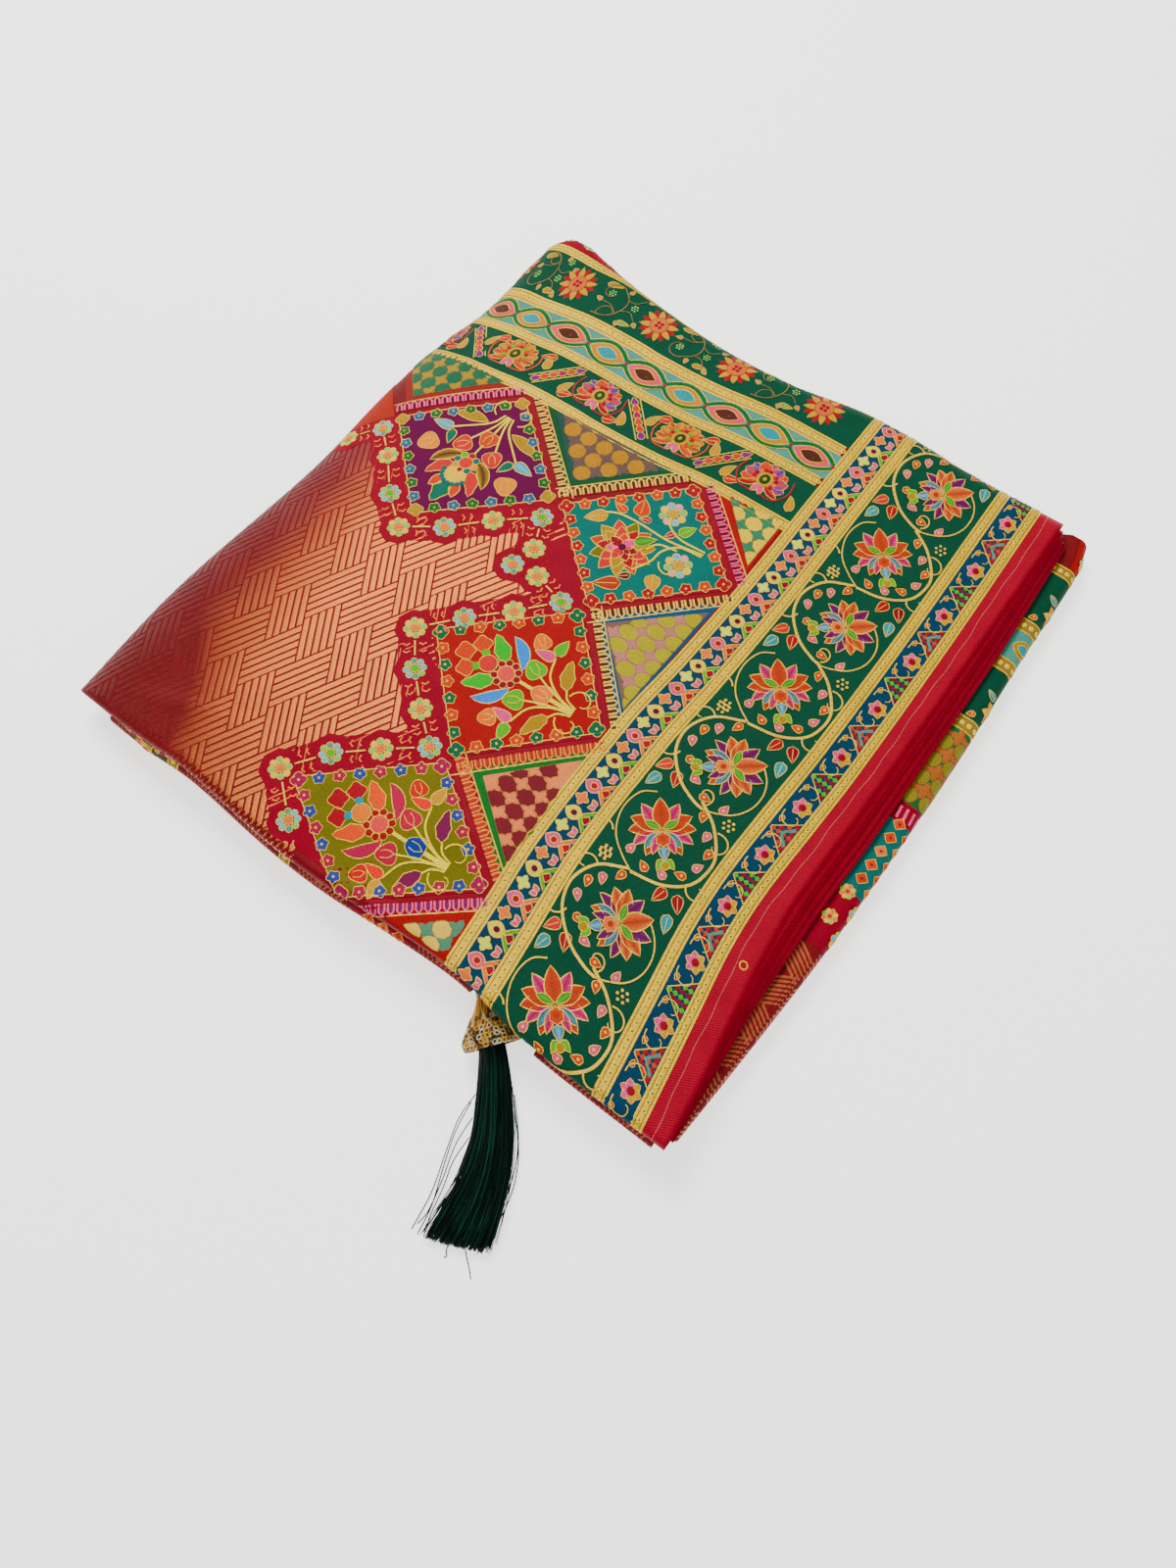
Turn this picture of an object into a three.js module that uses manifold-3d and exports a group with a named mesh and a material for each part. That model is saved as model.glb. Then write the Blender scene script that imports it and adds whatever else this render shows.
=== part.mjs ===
// A zari-woven tissue sari folded into a flat bundle, with one silk tassel on its end piece.
//
// Frame: millimetres, +Z up, the bundle's centre on z = 0. +X runs across the cloth to the
// selvedges, -X is the side of the round width folds, +Y is the spine where the long folds turn,
// -Y is the open front with the lips of the two packets and the tassel.
import * as THREE from 'three';
import Module from 'manifold-3d';
import { mergeVertices } from 'three/addons/utils/BufferGeometryUtils.js';

const wasm = await Module();
wasm.setup();

// ---------------------------------------------------------------- driving dimensions

const WALL = 1.2; // wall of the top stretch and of the fold strips
const THIN_WALL = 1.0; // wall of the loose selvedge layers

const FRONT_Y = -157; // nominal front of the bundle
const BACK_Y = 157; // nominal spine of the bundle
const CROWN = { edge: 23, rise: 5.5, midX: -5, halfX: 150, halfY: 168 };
const RIGHT_SAG = { from: 95, to: 145, depth: 0.7 };

// The round fold on the left: the top starts to fall at the knee, turns at the tip and tucks in.
const LEFT_FOLD = { knee: -112, tipZ: 12, tuckDepth: 13, tuckDrop: 3.6 };
// The spine: every height turns about one axis that runs along X.
const SPINE = { axisZ: 7, bulge: 0.75, turn: THREE.MathUtils.degToRad(111) };
// The front lip of the upper packet.
const LIP = { radius: 3.1, tipRadius: 0.5, turn: THREE.MathUtils.degToRad(128) };
// Lower packet: folds of one radius at one height.
const LOWER = { z: 6.8, radius: 4.6 };
const INNER = { z: 14.6, radius: 1.9 };

// Plan outlines. Each row is one station along a side.
const FRONT_EDGE = [
  { at: -158, out: -154 },
  { at: -120, out: -155 },
  { at: -95, out: -154 },
  { at: -50, out: -157 },
  { at: -20, out: -157 },
  { at: 10, out: -154.5 },
  { at: 45, out: -153 },
  { at: 75, out: -157 },
  { at: 143, out: -158 },
];
const BACK_EDGE = [
  { at: -158, out: 156 },
  { at: -140, out: 161 },
  { at: -90, out: 154 },
  { at: -45, out: 151.5 },
  { at: -5, out: 152.5 },
  { at: 36, out: 159 },
  { at: 90, out: 158 },
  { at: 132, out: 160.5 },
];
const LEFT_EDGE = [
  { at: -157, out: -157 },
  { at: -95, out: -160 },
  { at: -10, out: -155 },
  { at: 40, out: -156.5 },
  { at: 100, out: -154.5 },
  { at: 160, out: -151.5 },
];
const LOWER_LEFT_EDGE = [
  { at: -152, out: -141 },
  { at: -80, out: -142.5 },
  { at: 10, out: -139 },
  { at: 140, out: -138.5 },
];
const SELVEDGE = [
  { at: -158, out: 142.5 },
  { at: -135, out: 140 },
  { at: -112, out: 136.5 },
  { at: -87, out: 132.8 },
  { at: -55, out: 130.2 },
  { at: -10, out: 131.2 },
  { at: 80, out: 131.4 },
  { at: 162, out: 131 },
];
const MID_FOLD_EDGE = [
  { at: -152, out: 144.2 },
  { at: -110, out: 147.2 },
  { at: -60, out: 150 },
  { at: 0, out: 151 },
  { at: 45, out: 150.6 },
  { at: 100, out: 149 },
  { at: 150, out: 148 },
  { at: 163, out: 145 },
];

// Soft ridges and troughs of the top stretch: centre, run direction in degrees from +X, half
// length, half width and height.
const CREASES = [
  { x: 78, y: -42, turn: 8, length: 70, width: 13, height: -0.9 },
  { x: 95, y: -85, turn: 14, length: 55, width: 15, height: 0.9 },
  { x: -8, y: -138, turn: 24, length: 34, width: 9, height: -1.6 },
  { x: 4, y: -118, turn: 35, length: 30, width: 10, height: 1.0 },
  { x: -95, y: -35, turn: 80, length: 80, width: 16, height: 0.8 },
  { x: -60, y: 108, turn: 4, length: 75, width: 12, height: -1.1 },
  { x: -55, y: 70, turn: 6, length: 60, width: 14, height: 0.7 },
  { x: -128, y: 118, turn: 60, length: 26, width: 9, height: -1.2 },
  { x: -50, y: 140, turn: 2, length: 45, width: 12, height: -2.2 },
  { x: 60, y: 120, turn: 85, length: 50, width: 14, height: 0.7 },
  { x: -122, y: -120, turn: 65, length: 32, width: 10, height: -1.0 },
];

// Loose selvedges under the top stretch. reach: how far the edge stands out past the top one;
// root and edge: depth of the layer under the top surface at its hidden and at its free edge.
const SELVEDGE_LAYERS = [
  { name: 'selvedge_2', reach: 2.6, root: 1.65, edge: 2.8, wave: 0.9 },
  { name: 'selvedge_3', reach: 4.2, root: 3.0, edge: 4.7, wave: 2.3 },
  { name: 'selvedge_4', reach: 6.9, root: 4.35, edge: 7.0, wave: 3.9 },
  { name: 'selvedge_5', reach: 9.3, root: 5.75, edge: 8.7, wave: 5.2 },
];
// How far the selvedges spread along the side: closed at the front, open in the middle.
const FAN = [
  { at: -158, out: 0.1 },
  { at: -110, out: 0.5 },
  { at: -60, out: 1 },
  { at: 20, out: 1 },
  { at: 90, out: 0.95 },
  { at: 150, out: 0.7 },
];
const SELVEDGE_ROOT_X = 110;

// Levels of the hidden layers, with the inset from the outline on each side. z is a height, and
// rise is a part of the way from the shelf to the underside of the top stretch.
const CORE_LEVELS = [
  { z: 0, left: 6, right: 9, front: 8, back: 6 },
  { z: 0.6, left: 4, right: 5.6, front: 5, back: 4.4 },
  { z: 0.95, left: 4.6, right: 6.2, front: 5.6, back: 4.9 },
  { z: 1.45, left: 3.4, right: 4, front: 4.2, back: 3.8 },
  { z: 1.5, left: 11.4, right: 19.4, front: 11.4, back: 3.7 },
  { z: 4, left: 11.4, right: 19.4, front: 11.4, back: 3.4 },
  { z: 4.1, left: 8.4, right: 8.4, front: 8.4, back: 3.2 },
  { z: 5.4, left: 6.2, right: 6.2, front: 7, back: 3 },
  { z: 6.8, left: 5.6, right: 5.6, front: 6.6, back: 2.6 },
  { z: 8.2, left: 6.2, right: 6.2, front: 7, back: 2.9 },
  { z: 9.5, left: 8.4, right: 8.4, front: 8.4, back: 3 },
  { z: 9.6, left: 11.4, right: 19.4, front: 11.4, back: 3.1 },
  { z: 11.75, left: 11.4, right: 19.4, front: 12.6, back: 3.6 },
  { z: 12.5, left: 6, right: 20, front: 13.4, back: 3.9 },
  { rise: 0, left: 4, right: 41.5, front: 13.4, back: 4 },
  { rise: 0.28, left: 3.2, right: 42, front: 13.4, back: 4.3 },
  { rise: 0.56, left: 4, right: 42.6, front: 13.2, back: 5.6 },
  { rise: 0.6, left: 3.6, right: 42, front: 6.4, back: 6.2 },
  { rise: 0.72, left: 4.4, right: 42.6, front: 7.2, back: 7.6 },
  { rise: 0.84, left: 4.4, right: 42.2, front: 6.6, back: 9.4 },
  { rise: 1, left: 9, right: 44, front: 9.5, back: 15 },
];
const CORE_SHELF_Z = 12.6;
const CORE_COVER = 1.4; // clearance under the top stretch's wall
const CORE_NOTCH = { from: 100, to: 109, depth: 13 }; // room for the selvedges at the spine
const CORE_CORNER_POWER = 9;
const CORE_AROUND = 64;
const CORE_CAP_RINGS = [0.86, 0.66, 0.44, 0.2];

// Tassel: its line on the ground, from the head inside the cap to the tips of the skirt.
const TASSEL_LINE = [
  { x: 62.9, y: -158.9, z: 9.1, halfWidth: 4.3, halfHeight: 3.1 },
  { x: 71.2, y: -166, z: 6.6, halfWidth: 4.6, halfHeight: 3.9 },
  { x: 81.2, y: -179, z: 4.8, halfWidth: 6, halfHeight: 3.4 },
  { x: 90.6, y: -193, z: 4.1, halfWidth: 7.4, halfHeight: 3 },
  { x: 97.6, y: -209, z: 3.5, halfWidth: 9.2, halfHeight: 2.5 },
  { x: 102.4, y: -229, z: 2.8, halfWidth: 11.8, halfHeight: 1.9 },
];
const STRANDS = { count: 58, radius: 0.38, sides: 3, stations: 5, root: 0.12 };
const CAP = {
  apex: new THREE.Vector3(56, -153.4, 10.3),
  base: new THREE.Vector3(69.6, -164.4, 8.3),
  radius: 10.4,
  squash: 0.72,
  wall: 1.5,
  gathers: 14,
  gatherDepth: 0.05,
  around: 42,
};
const CAP_PROFILE = [
  { along: -0.28, radius: 0.1 },
  { along: 0.02, radius: 0.13 },
  { along: 0.22, radius: 0.3 },
  { along: 0.46, radius: 0.58 },
  { along: 0.7, radius: 0.86 },
  { along: 0.88, radius: 1 },
  { along: 1, radius: 0.96 },
];

// ---------------------------------------------------------------- small helpers

const { clamp, degToRad, lerp, smoothstep } = THREE.MathUtils;

// Value of a table's "out" column at one station, on a smooth curve through its rows.
function along(table, at) {
  const last = table.length - 1;
  let row = 0;
  while (row < last - 1 && at > table[row + 1].at) row += 1;
  const a = table[row];
  const b = table[row + 1];
  const span = b.at - a.at;
  const t = clamp((at - a.at) / span, 0, 1);
  const before = table[Math.max(row - 1, 0)];
  const after = table[Math.min(row + 2, last)];
  const slopeA = ((b.out - before.out) / (b.at - before.at)) * span;
  const slopeB = ((after.out - a.out) / (after.at - a.at)) * span;
  const t2 = t * t;
  const t3 = t2 * t;
  return (
    (2 * t3 - 3 * t2 + 1) * a.out + (t3 - 2 * t2 + t) * slopeA +
    (3 * t2 - 2 * t3) * b.out + (t3 - t2) * slopeB
  );
}

function spread(from, to, steps) {
  return Array.from({ length: steps + 1 }, (_, i) => lerp(from, to, i / steps));
}

function meshOf(name, geometry, look) {
  geometry.computeVertexNormals();
  const mesh = new THREE.Mesh(geometry, new THREE.MeshStandardMaterial(look));
  mesh.name = name;
  return mesh;
}

function geometryOf(points, triangles) {
  const geometry = new THREE.BufferGeometry();
  const flat = points.flatMap((p) => [p.x, p.y, p.z]);
  geometry.setAttribute('position', new THREE.Float32BufferAttribute(flat, 3));
  geometry.setIndex(outward(points, triangles).flat());
  return geometry;
}

// Triangles turned so that the closed body's faces point out.
function outward(points, triangles) {
  let volume = 0;
  for (const [a, b, c] of triangles) {
    volume += points[a].dot(points[b].clone().cross(points[c]));
  }
  return volume < 0 ? triangles.map(([a, b, c]) => [a, c, b]) : triangles;
}

// A closed wall between an outer and an inner grid of points, each a list of rows.
function wallBetween(outer, inner) {
  const rows = outer.length;
  const columns = outer[0].length;
  const points = [...outer.flat(), ...inner.flat()];
  const front = (i, j) => i * columns + j;
  const back = (i, j) => rows * columns + i * columns + j;
  const triangles = [];
  const quad = (a, b, c, d) => triangles.push([a, b, c], [a, c, d]);
  for (let i = 0; i < rows - 1; i += 1) {
    for (let j = 0; j < columns - 1; j += 1) {
      quad(front(i, j), front(i, j + 1), front(i + 1, j + 1), front(i + 1, j));
      quad(back(i, j), back(i + 1, j), back(i + 1, j + 1), back(i, j + 1));
    }
    quad(front(i, 0), front(i + 1, 0), back(i + 1, 0), back(i, 0));
    const e = columns - 1;
    quad(front(i, e), back(i, e), back(i + 1, e), front(i + 1, e));
  }
  const last = rows - 1;
  for (let j = 0; j < columns - 1; j += 1) {
    quad(front(0, j), back(0, j), back(0, j + 1), front(0, j + 1));
    quad(front(last, j), front(last, j + 1), back(last, j + 1), back(last, j));
  }
  return geometryOf(points, triangles);
}

// A closed body through rings of points, with a fan over each end.
function loftRings(rings) {
  const around = rings[0].length;
  const points = rings.flat();
  const triangles = [];
  for (let k = 0; k < rings.length - 1; k += 1) {
    for (let i = 0; i < around; i += 1) {
      const next = (i + 1) % around;
      const a = k * around + i;
      const b = k * around + next;
      triangles.push([a, b, b + around], [a, b + around, a + around]);
    }
  }
  const capEnd = (ring, offset, flip) => {
    const centre = ring.reduce((sum, p) => sum.add(p), new THREE.Vector3());
    points.push(centre.divideScalar(ring.length));
    const tip = points.length - 1;
    for (let i = 0; i < around; i += 1) {
      const a = offset + i;
      const b = offset + ((i + 1) % around);
      triangles.push(flip ? [tip, b, a] : [tip, a, b]);
    }
  };
  capEnd(rings[0], 0, true);
  capEnd(rings.at(-1), (rings.length - 1) * around, false);
  return geometryOf(points, triangles);
}

// ---------------------------------------------------------------- the top surface

// Height of the top stretch's outer face over the flat part of the bundle.
function topHeight(x, y) {
  const acrossFall = 1 - ((x - CROWN.midX) / CROWN.halfX) ** 2;
  const alongFall = 1 - (y / CROWN.halfY) ** 2;
  const sag = RIGHT_SAG.depth * smoothstep(x, RIGHT_SAG.from, RIGHT_SAG.to);
  return CROWN.edge + CROWN.rise * acrossFall * alongFall - sag + creases(x, y);
}

function creases(x, y) {
  let sum = 0;
  for (const crease of CREASES) {
    const c = Math.cos(degToRad(crease.turn));
    const s = Math.sin(degToRad(crease.turn));
    const run = ((x - crease.x) * c + (y - crease.y) * s) / crease.length;
    const side = ((y - crease.y) * c - (x - crease.x) * s) / crease.width;
    sum += crease.height * Math.exp(-run * run - side * side);
  }
  return sum;
}

// One point of the section across the bundle at y. a is the way along it: the plan x down to
// the knee, then 0 to 1 over the round of the left fold and 1 to 2 through its tuck.
function sectionPoint(a, y) {
  const { knee, tipZ, tuckDepth, tuckDrop } = LEFT_FOLD;
  if (a.x !== undefined) {
    const shift = along(SELVEDGE, y) - SELVEDGE.at(-1).out;
    const x = a.x + shift * smoothstep(a.x, 20, SELVEDGE.at(-1).out);
    return { x, z: topHeight(x, y) };
  }
  const tipX = along(LEFT_EDGE, y);
  if (a.fold <= 1) {
    const angle = (a.fold * Math.PI) / 2;
    const x = knee + (tipX - knee) * Math.sin(angle);
    return { x, z: tipZ + (topHeight(x, y) - tipZ) * Math.cos(angle) };
  }
  const angle = ((a.fold - 1) * Math.PI) / 2;
  return {
    x: tipX + tuckDepth * (1 - Math.cos(angle)),
    z: tipZ - tuckDrop * Math.sin(angle),
  };
}

// A point of the draped face: a across, b along (plan y, or an angle past the lip or the spine),
// drop the depth under the top surface.
function drapePoint(a, b, drop = 0) {
  const yFront = frontKnee(a);
  const yBack = backKnee(a);
  const y = b.y === undefined ? (b.lip === undefined ? yBack : yFront) : lerp(yFront, yBack, b.y);
  const base = sectionPoint(a, y);
  const z = base.z - drop;
  if (b.lip !== undefined) {
    const radius = lipRadius(a);
    const angle = b.lip * lipTurn(a);
    const inward = inwardNormal(a, y);
    const down = radius * (1 - Math.cos(angle));
    return new THREE.Vector3(
      base.x + inward.x * down, y - radius * Math.sin(angle), z + inward.z * down,
    );
  }
  if (b.spine !== undefined) {
    const angle = b.spine * SPINE.turn;
    const arm = z - SPINE.axisZ;
    return new THREE.Vector3(
      base.x, y + (SPINE.bulge * (arm + drop) - drop) * Math.sin(angle), SPINE.axisZ + arm * Math.cos(angle),
    );
  }
  return new THREE.Vector3(base.x, y, z);
}

function inwardNormal(a, y) {
  if (a.x !== undefined) return { x: 0, z: -1 };
  const angle = (clamp(a.fold, 0, 1.6) * Math.PI) / 2;
  return { x: Math.sin(angle), z: -Math.cos(angle) };
}

function planX(a) {
  return a.x === undefined ? LEFT_FOLD.knee - 45 * Math.sin((Math.min(a.fold, 1) * Math.PI) / 2) : a.x;
}

function lipRadius(a) {
  const flank = a.x === undefined ? Math.min(a.fold, 1) : 0;
  return lerp(LIP.radius, LIP.tipRadius, flank ** 2);
}

function lipTurn(a) {
  const flank = a.x === undefined ? Math.min(a.fold, 1) : 0;
  return LIP.turn * (1 - 0.8 * flank ** 2);
}

function frontKnee(a) {
  return along(FRONT_EDGE, planX(a)) + lipRadius(a);
}

function backKnee(a) {
  const arm = CROWN.edge + 0.6 - SPINE.axisZ;
  return along(BACK_EDGE, planX(a)) - SPINE.bulge * arm;
}

// Grid of points of a draped layer and the grid one wall below it.
function drapedWall(across, lengthwise, wall, drop = () => 0) {
  const outer = across.map((a) => lengthwise.map((b) => drapePoint(a, b, drop(a, b))));
  const inner = outer.map((row, i) => row.map((p, j) => {
    const alongStep = gridStep(outer, i, j, 0, 1);
    const acrossStep = gridStep(outer, i, j, 1, 0);
    return p.clone().addScaledVector(acrossStep.cross(alongStep).normalize(), wall);
  }));
  return wallBetween(outer, inner);
}

function gridStep(grid, i, j, di, dj) {
  const from = grid[Math.max(i - di, 0)][Math.max(j - dj, 0)];
  const to = grid[Math.min(i + di, grid.length - 1)][Math.min(j + dj, grid[0].length - 1)];
  return to.clone().sub(from);
}

// ---------------------------------------------------------------- pieces

function topStretch() {
  const across = [
    ...spread(SELVEDGE.at(-1).out, LEFT_FOLD.knee, 18).map((x) => ({ x })),
    ...spread(0, 1, 9).slice(1).map((fold) => ({ fold })),
    ...spread(1, 2, 4).slice(1).map((fold) => ({ fold })),
  ];
  const lengthwise = [
    ...spread(1, 0, 5).slice(0, -1).map((lip) => ({ lip })),
    ...spread(0, 1, 20).map((y) => ({ y })),
    ...spread(0, 1, 8).slice(1).map((spine) => ({ spine })),
  ];
  return drapedWall(across, lengthwise, WALL);
}

function selvedgeLayer(layer) {
  const steps = 4;
  const edgeX = (part) => SELVEDGE.at(-1).out + layer.reach * part;
  const across = spread(0, 1, steps).map((t) => ({ x: lerp(edgeX(1), SELVEDGE_ROOT_X, t), free: 1 - t }));
  const lengthwise = [
    ...spread(0, 1, 16).map((y) => ({ y })),
    ...spread(0, 1, 6).slice(1).map((spine) => ({ spine })),
  ];
  const drop = (a, b) => {
    const y = lerp(FRONT_Y, BACK_Y, b.y ?? 1);
    const fan = along(FAN, clamp(y, FAN[0].at, FAN.at(-1).at));
    const flutter = 0.22 * Math.sin(y / 21 + layer.wave) * a.free;
    return layer.root + (layer.edge - layer.root) * a.free * lerp(0.45, 1, fan) + flutter;
  };
  const grid = across.map((a) => lengthwise.map((b) => {
    const y = lerp(FRONT_Y, BACK_Y, b.y ?? 1);
    const fan = along(FAN, clamp(y, FAN[0].at, FAN.at(-1).at));
    const shrink = layer.reach * (1 - fan) * a.free;
    const point = drapePoint(a, b, drop(a, b));
    point.x -= shrink;
    return point;
  }));
  const inner = grid.map((row, i) => row.map((p, j) => {
    const normal = gridStep(grid, i, j, 1, 0).cross(gridStep(grid, i, j, 0, 1)).normalize();
    return p.clone().addScaledVector(normal, THIN_WALL);
  }));
  return wallBetween(grid, inner);
}

// A fold seen end on: upper arm, half round and lower arm, carried along one side.
function foldStrip({ from, to, steps, place, z, radius, upper, lower }) {
  const arcSteps = 6;
  const section = (at, r) => {
    const height = typeof z === 'function' ? z(at) : z;
    const up = typeof upper === 'function' ? upper(at) : upper;
    const down = typeof lower === 'function' ? lower(at) : lower;
    const arc = spread(Math.PI / 2, -Math.PI / 2, arcSteps).map((angle) => (
      { depth: radius - r * Math.cos(angle), z: height + r * Math.sin(angle) }
    ));
    return [
      { depth: radius + up, z: height + r },
      ...arc,
      { depth: radius + down, z: height - r },
    ].map((p) => place(at, p.depth, p.z));
  };
  const stations = spread(from, to, steps);
  const outer = stations.map((at) => section(at, radius));
  const inner = stations.map((at) => section(at, radius - WALL));
  return wallBetween(outer, inner);
}

const fromLeft = (y, depth, z) => new THREE.Vector3(along(LOWER_LEFT_EDGE, y) + depth, y, z);
const fromRight = (y, depth, z) => new THREE.Vector3(along(MID_FOLD_EDGE, y) - depth, y, z);
const fromFront = (x, depth, z) => new THREE.Vector3(x, along(FRONT_EDGE, x) - 0.8 + depth, z);

function lowerFrontFold(from, to, steps, arm) {
  const z = (x) => LOWER.z - 0.15 + 0.15 * Math.sin(x / 19);
  return foldStrip({ from, to, steps, place: fromFront, z, radius: LOWER.radius, upper: arm, lower: arm });
}

function lowerLeftFold() {
  return foldStrip({
    from: -143, to: 140, steps: 12, place: fromLeft, z: LOWER.z, radius: LOWER.radius, upper: 5.5, lower: 5.5,
  });
}

function midFold() {
  const arm = (y) => lerp(13.5, 2.6, smoothstep(y, 128, 142));
  return foldStrip({
    from: -151.6, to: 163, steps: 18, place: fromRight, z: LOWER.z, radius: LOWER.radius, upper: arm, lower: arm,
  });
}

function innerStretch() {
  const z = (x) => INNER.z - 0.4 * smoothstep(-x, 60, 130) + 0.25 * Math.sin(x / 13);
  const place = (x, depth, height) => {
    const tuck = 1.6 - 1.4 * smoothstep(-x, 70, 120);
    return new THREE.Vector3(x, along(FRONT_EDGE, x) + tuck + depth, height);
  };
  return foldStrip({
    from: -143, to: 106, steps: 22, place, z, radius: INNER.radius, upper: 8.6, lower: 6,
  });
}

function corePoint(level, s, t) {
  const y0 = lerp(FRONT_Y, BACK_Y, (t + 1) / 2);
  const leftX = along(LOWER_LEFT_EDGE, clamp(y0, -152, 140)) + level.left;
  const rightX = along(MID_FOLD_EDGE, clamp(y0, -152, 150)) - level.right;
  const x = lerp(leftX, rightX, (s + 1) / 2);
  const notch = CORE_NOTCH.depth * smoothstep(x, CORE_NOTCH.from, CORE_NOTCH.to);
  const frontY = along(FRONT_EDGE, x) + level.front;
  const backY = along(BACK_EDGE, x) - level.back - notch;
  const y = lerp(frontY, backY, (t + 1) / 2);
  const z = level.rise === undefined ? level.z : lerp(CORE_SHELF_Z, coreTop(x, y), level.rise);
  return new THREE.Vector3(x, y, z);
}

// Top of the hidden layers: under the wall of the top stretch, also where it falls away.
function coreTop(x, y) {
  const { knee, tipZ } = LEFT_FOLD;
  const flat = topHeight(x, y);
  const out = clamp((knee - x) / (knee - along(LEFT_EDGE, y)), 0, 0.99);
  const fallen = tipZ + (flat - tipZ) * Math.sqrt(1 - out * out);
  return fallen - WALL * (1 + 0.5 * out) - CORE_COVER;
}

function coreLayers() {
  const ringPoint = (level, scale, i) => {
    const angle = (i / CORE_AROUND) * 2 * Math.PI;
    const c = Math.cos(angle);
    const d = Math.sin(angle);
    const size = (Math.abs(c) ** CORE_CORNER_POWER + Math.abs(d) ** CORE_CORNER_POWER) ** (-1 / CORE_CORNER_POWER);
    return corePoint(level, scale * c * size, scale * d * size);
  };
  const ringOf = (level, scale) => Array.from({ length: CORE_AROUND }, (_, i) => ringPoint(level, scale, i));
  const rings = CORE_LEVELS.map((level) => ringOf(level, 1));
  const capLevel = CORE_LEVELS.at(-1);
  rings.push(...CORE_CAP_RINGS.map((scale) => ringOf(capLevel, scale)));
  return loftRings(rings);
}

// ---------------------------------------------------------------- tassel

const capAxis = CAP.base.clone().sub(CAP.apex);
const capForward = capAxis.clone().normalize();
const capSide = new THREE.Vector3(0, 0, 1).cross(capForward).normalize();
const capUp = capForward.clone().cross(capSide).normalize();

function capRing(part, radius, ripple) {
  return Array.from({ length: CAP.around }, (_, i) => {
    const angle = (i / CAP.around) * 2 * Math.PI;
    const r = radius * (1 + ripple * Math.cos(angle * CAP.gathers));
    return CAP.apex.clone()
      .addScaledVector(capAxis, part)
      .addScaledVector(capSide, r * Math.cos(angle))
      .addScaledVector(capUp, r * Math.sin(angle) * CAP.squash);
  });
}

function tasselCap() {
  const outer = CAP_PROFILE.map((row) => (
    capRing(row.along, row.radius * CAP.radius, CAP.gatherDepth * smoothstep(row.along, 0, 0.5))
  ));
  const lining = CAP_PROFILE.filter((row) => row.along > 0.4).reverse().map((row) => (
    capRing(Math.min(row.along, 0.99), row.radius * CAP.radius - CAP.wall, 0)
  ));
  return loftRings([...outer, ...lining]);
}

const tasselStations = TASSEL_LINE.map((row) => new THREE.Vector3(row.x, row.y, row.z));
const tasselCurve = new THREE.CatmullRomCurve3(tasselStations, false, 'centripetal');

function tasselSize(t) {
  const spot = t * (TASSEL_LINE.length - 1);
  const row = Math.min(Math.floor(spot), TASSEL_LINE.length - 2);
  const mix = spot - row;
  return {
    halfWidth: lerp(TASSEL_LINE[row].halfWidth, TASSEL_LINE[row + 1].halfWidth, mix),
    halfHeight: lerp(TASSEL_LINE[row].halfHeight, TASSEL_LINE[row + 1].halfHeight, mix),
  };
}

function tasselPoint(t, across, high) {
  const centre = tasselCurve.getPoint(t);
  const forward = tasselCurve.getTangent(t);
  const side = new THREE.Vector3(0, 0, 1).cross(forward).normalize();
  const size = tasselSize(t);
  return centre.addScaledVector(side, across * size.halfWidth)
    .add(new THREE.Vector3(0, 0, high * size.halfHeight));
}

const HEAD_SWELL = [0.95, 1, 1, 0.98, 0.9];

function tasselHead() {
  const around = 16;
  const rings = spread(0, 0.21, 4).map((t, k) => {
    const swell = HEAD_SWELL[k];
    return Array.from({ length: around }, (_, i) => {
      const angle = (i / around) * 2 * Math.PI;
      return tasselPoint(t, swell * Math.cos(angle), swell * Math.sin(angle));
    });
  });
  return loftRings(rings);
}

// One strand: a thin prism from inside the head to its own tip, on evenly spread roots.
function strand(index) {
  const golden = Math.PI * (3 - Math.sqrt(5));
  const spot = Math.sqrt((index + 0.5) / STRANDS.count) * 0.93;
  const across = spot * Math.cos(index * golden);
  const high = spot * Math.sin(index * golden);
  const length = 1 - 0.05 * Math.abs(Math.sin(index * 2.3));
  const rings = spread(STRANDS.root, length, STRANDS.stations - 1).map((t) => {
    const centre = tasselPoint(t, across, high);
    const side = new THREE.Vector3(0, 0, 1).cross(tasselCurve.getTangent(t)).normalize();
    return Array.from({ length: STRANDS.sides }, (_, i) => {
      const angle = ((i + 0.25) / STRANDS.sides) * 2 * Math.PI;
      return centre.clone()
        .addScaledVector(side, STRANDS.radius * Math.cos(angle))
        .add(new THREE.Vector3(0, 0, STRANDS.radius * Math.sin(angle)));
    });
  });
  return loftRings(rings);
}

function manifoldOf(geometry) {
  const bare = geometry.clone();
  bare.deleteAttribute('normal');
  bare.deleteAttribute('uv');
  const merged = mergeVertices(bare, 1e-5);
  return new wasm.Manifold(new wasm.Mesh({
    numProp: 3,
    vertProperties: new Float32Array(merged.attributes.position.array),
    triVerts: new Uint32Array(merged.index.array),
  }));
}

function geometryFrom(manifold) {
  const { vertProperties, triVerts } = manifold.getMesh();
  const geometry = new THREE.BufferGeometry();
  geometry.setAttribute('position', new THREE.BufferAttribute(new Float32Array(vertProperties), 3));
  geometry.setIndex(new THREE.BufferAttribute(new Uint32Array(triVerts), 1));
  return geometry;
}

function tasselSkirt() {
  let skirt = manifoldOf(tasselHead());
  for (let index = 0; index < STRANDS.count; index += 1) {
    skirt = skirt.add(manifoldOf(strand(index)));
  }
  return geometryFrom(skirt);
}

// ---------------------------------------------------------------- the sari

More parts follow.
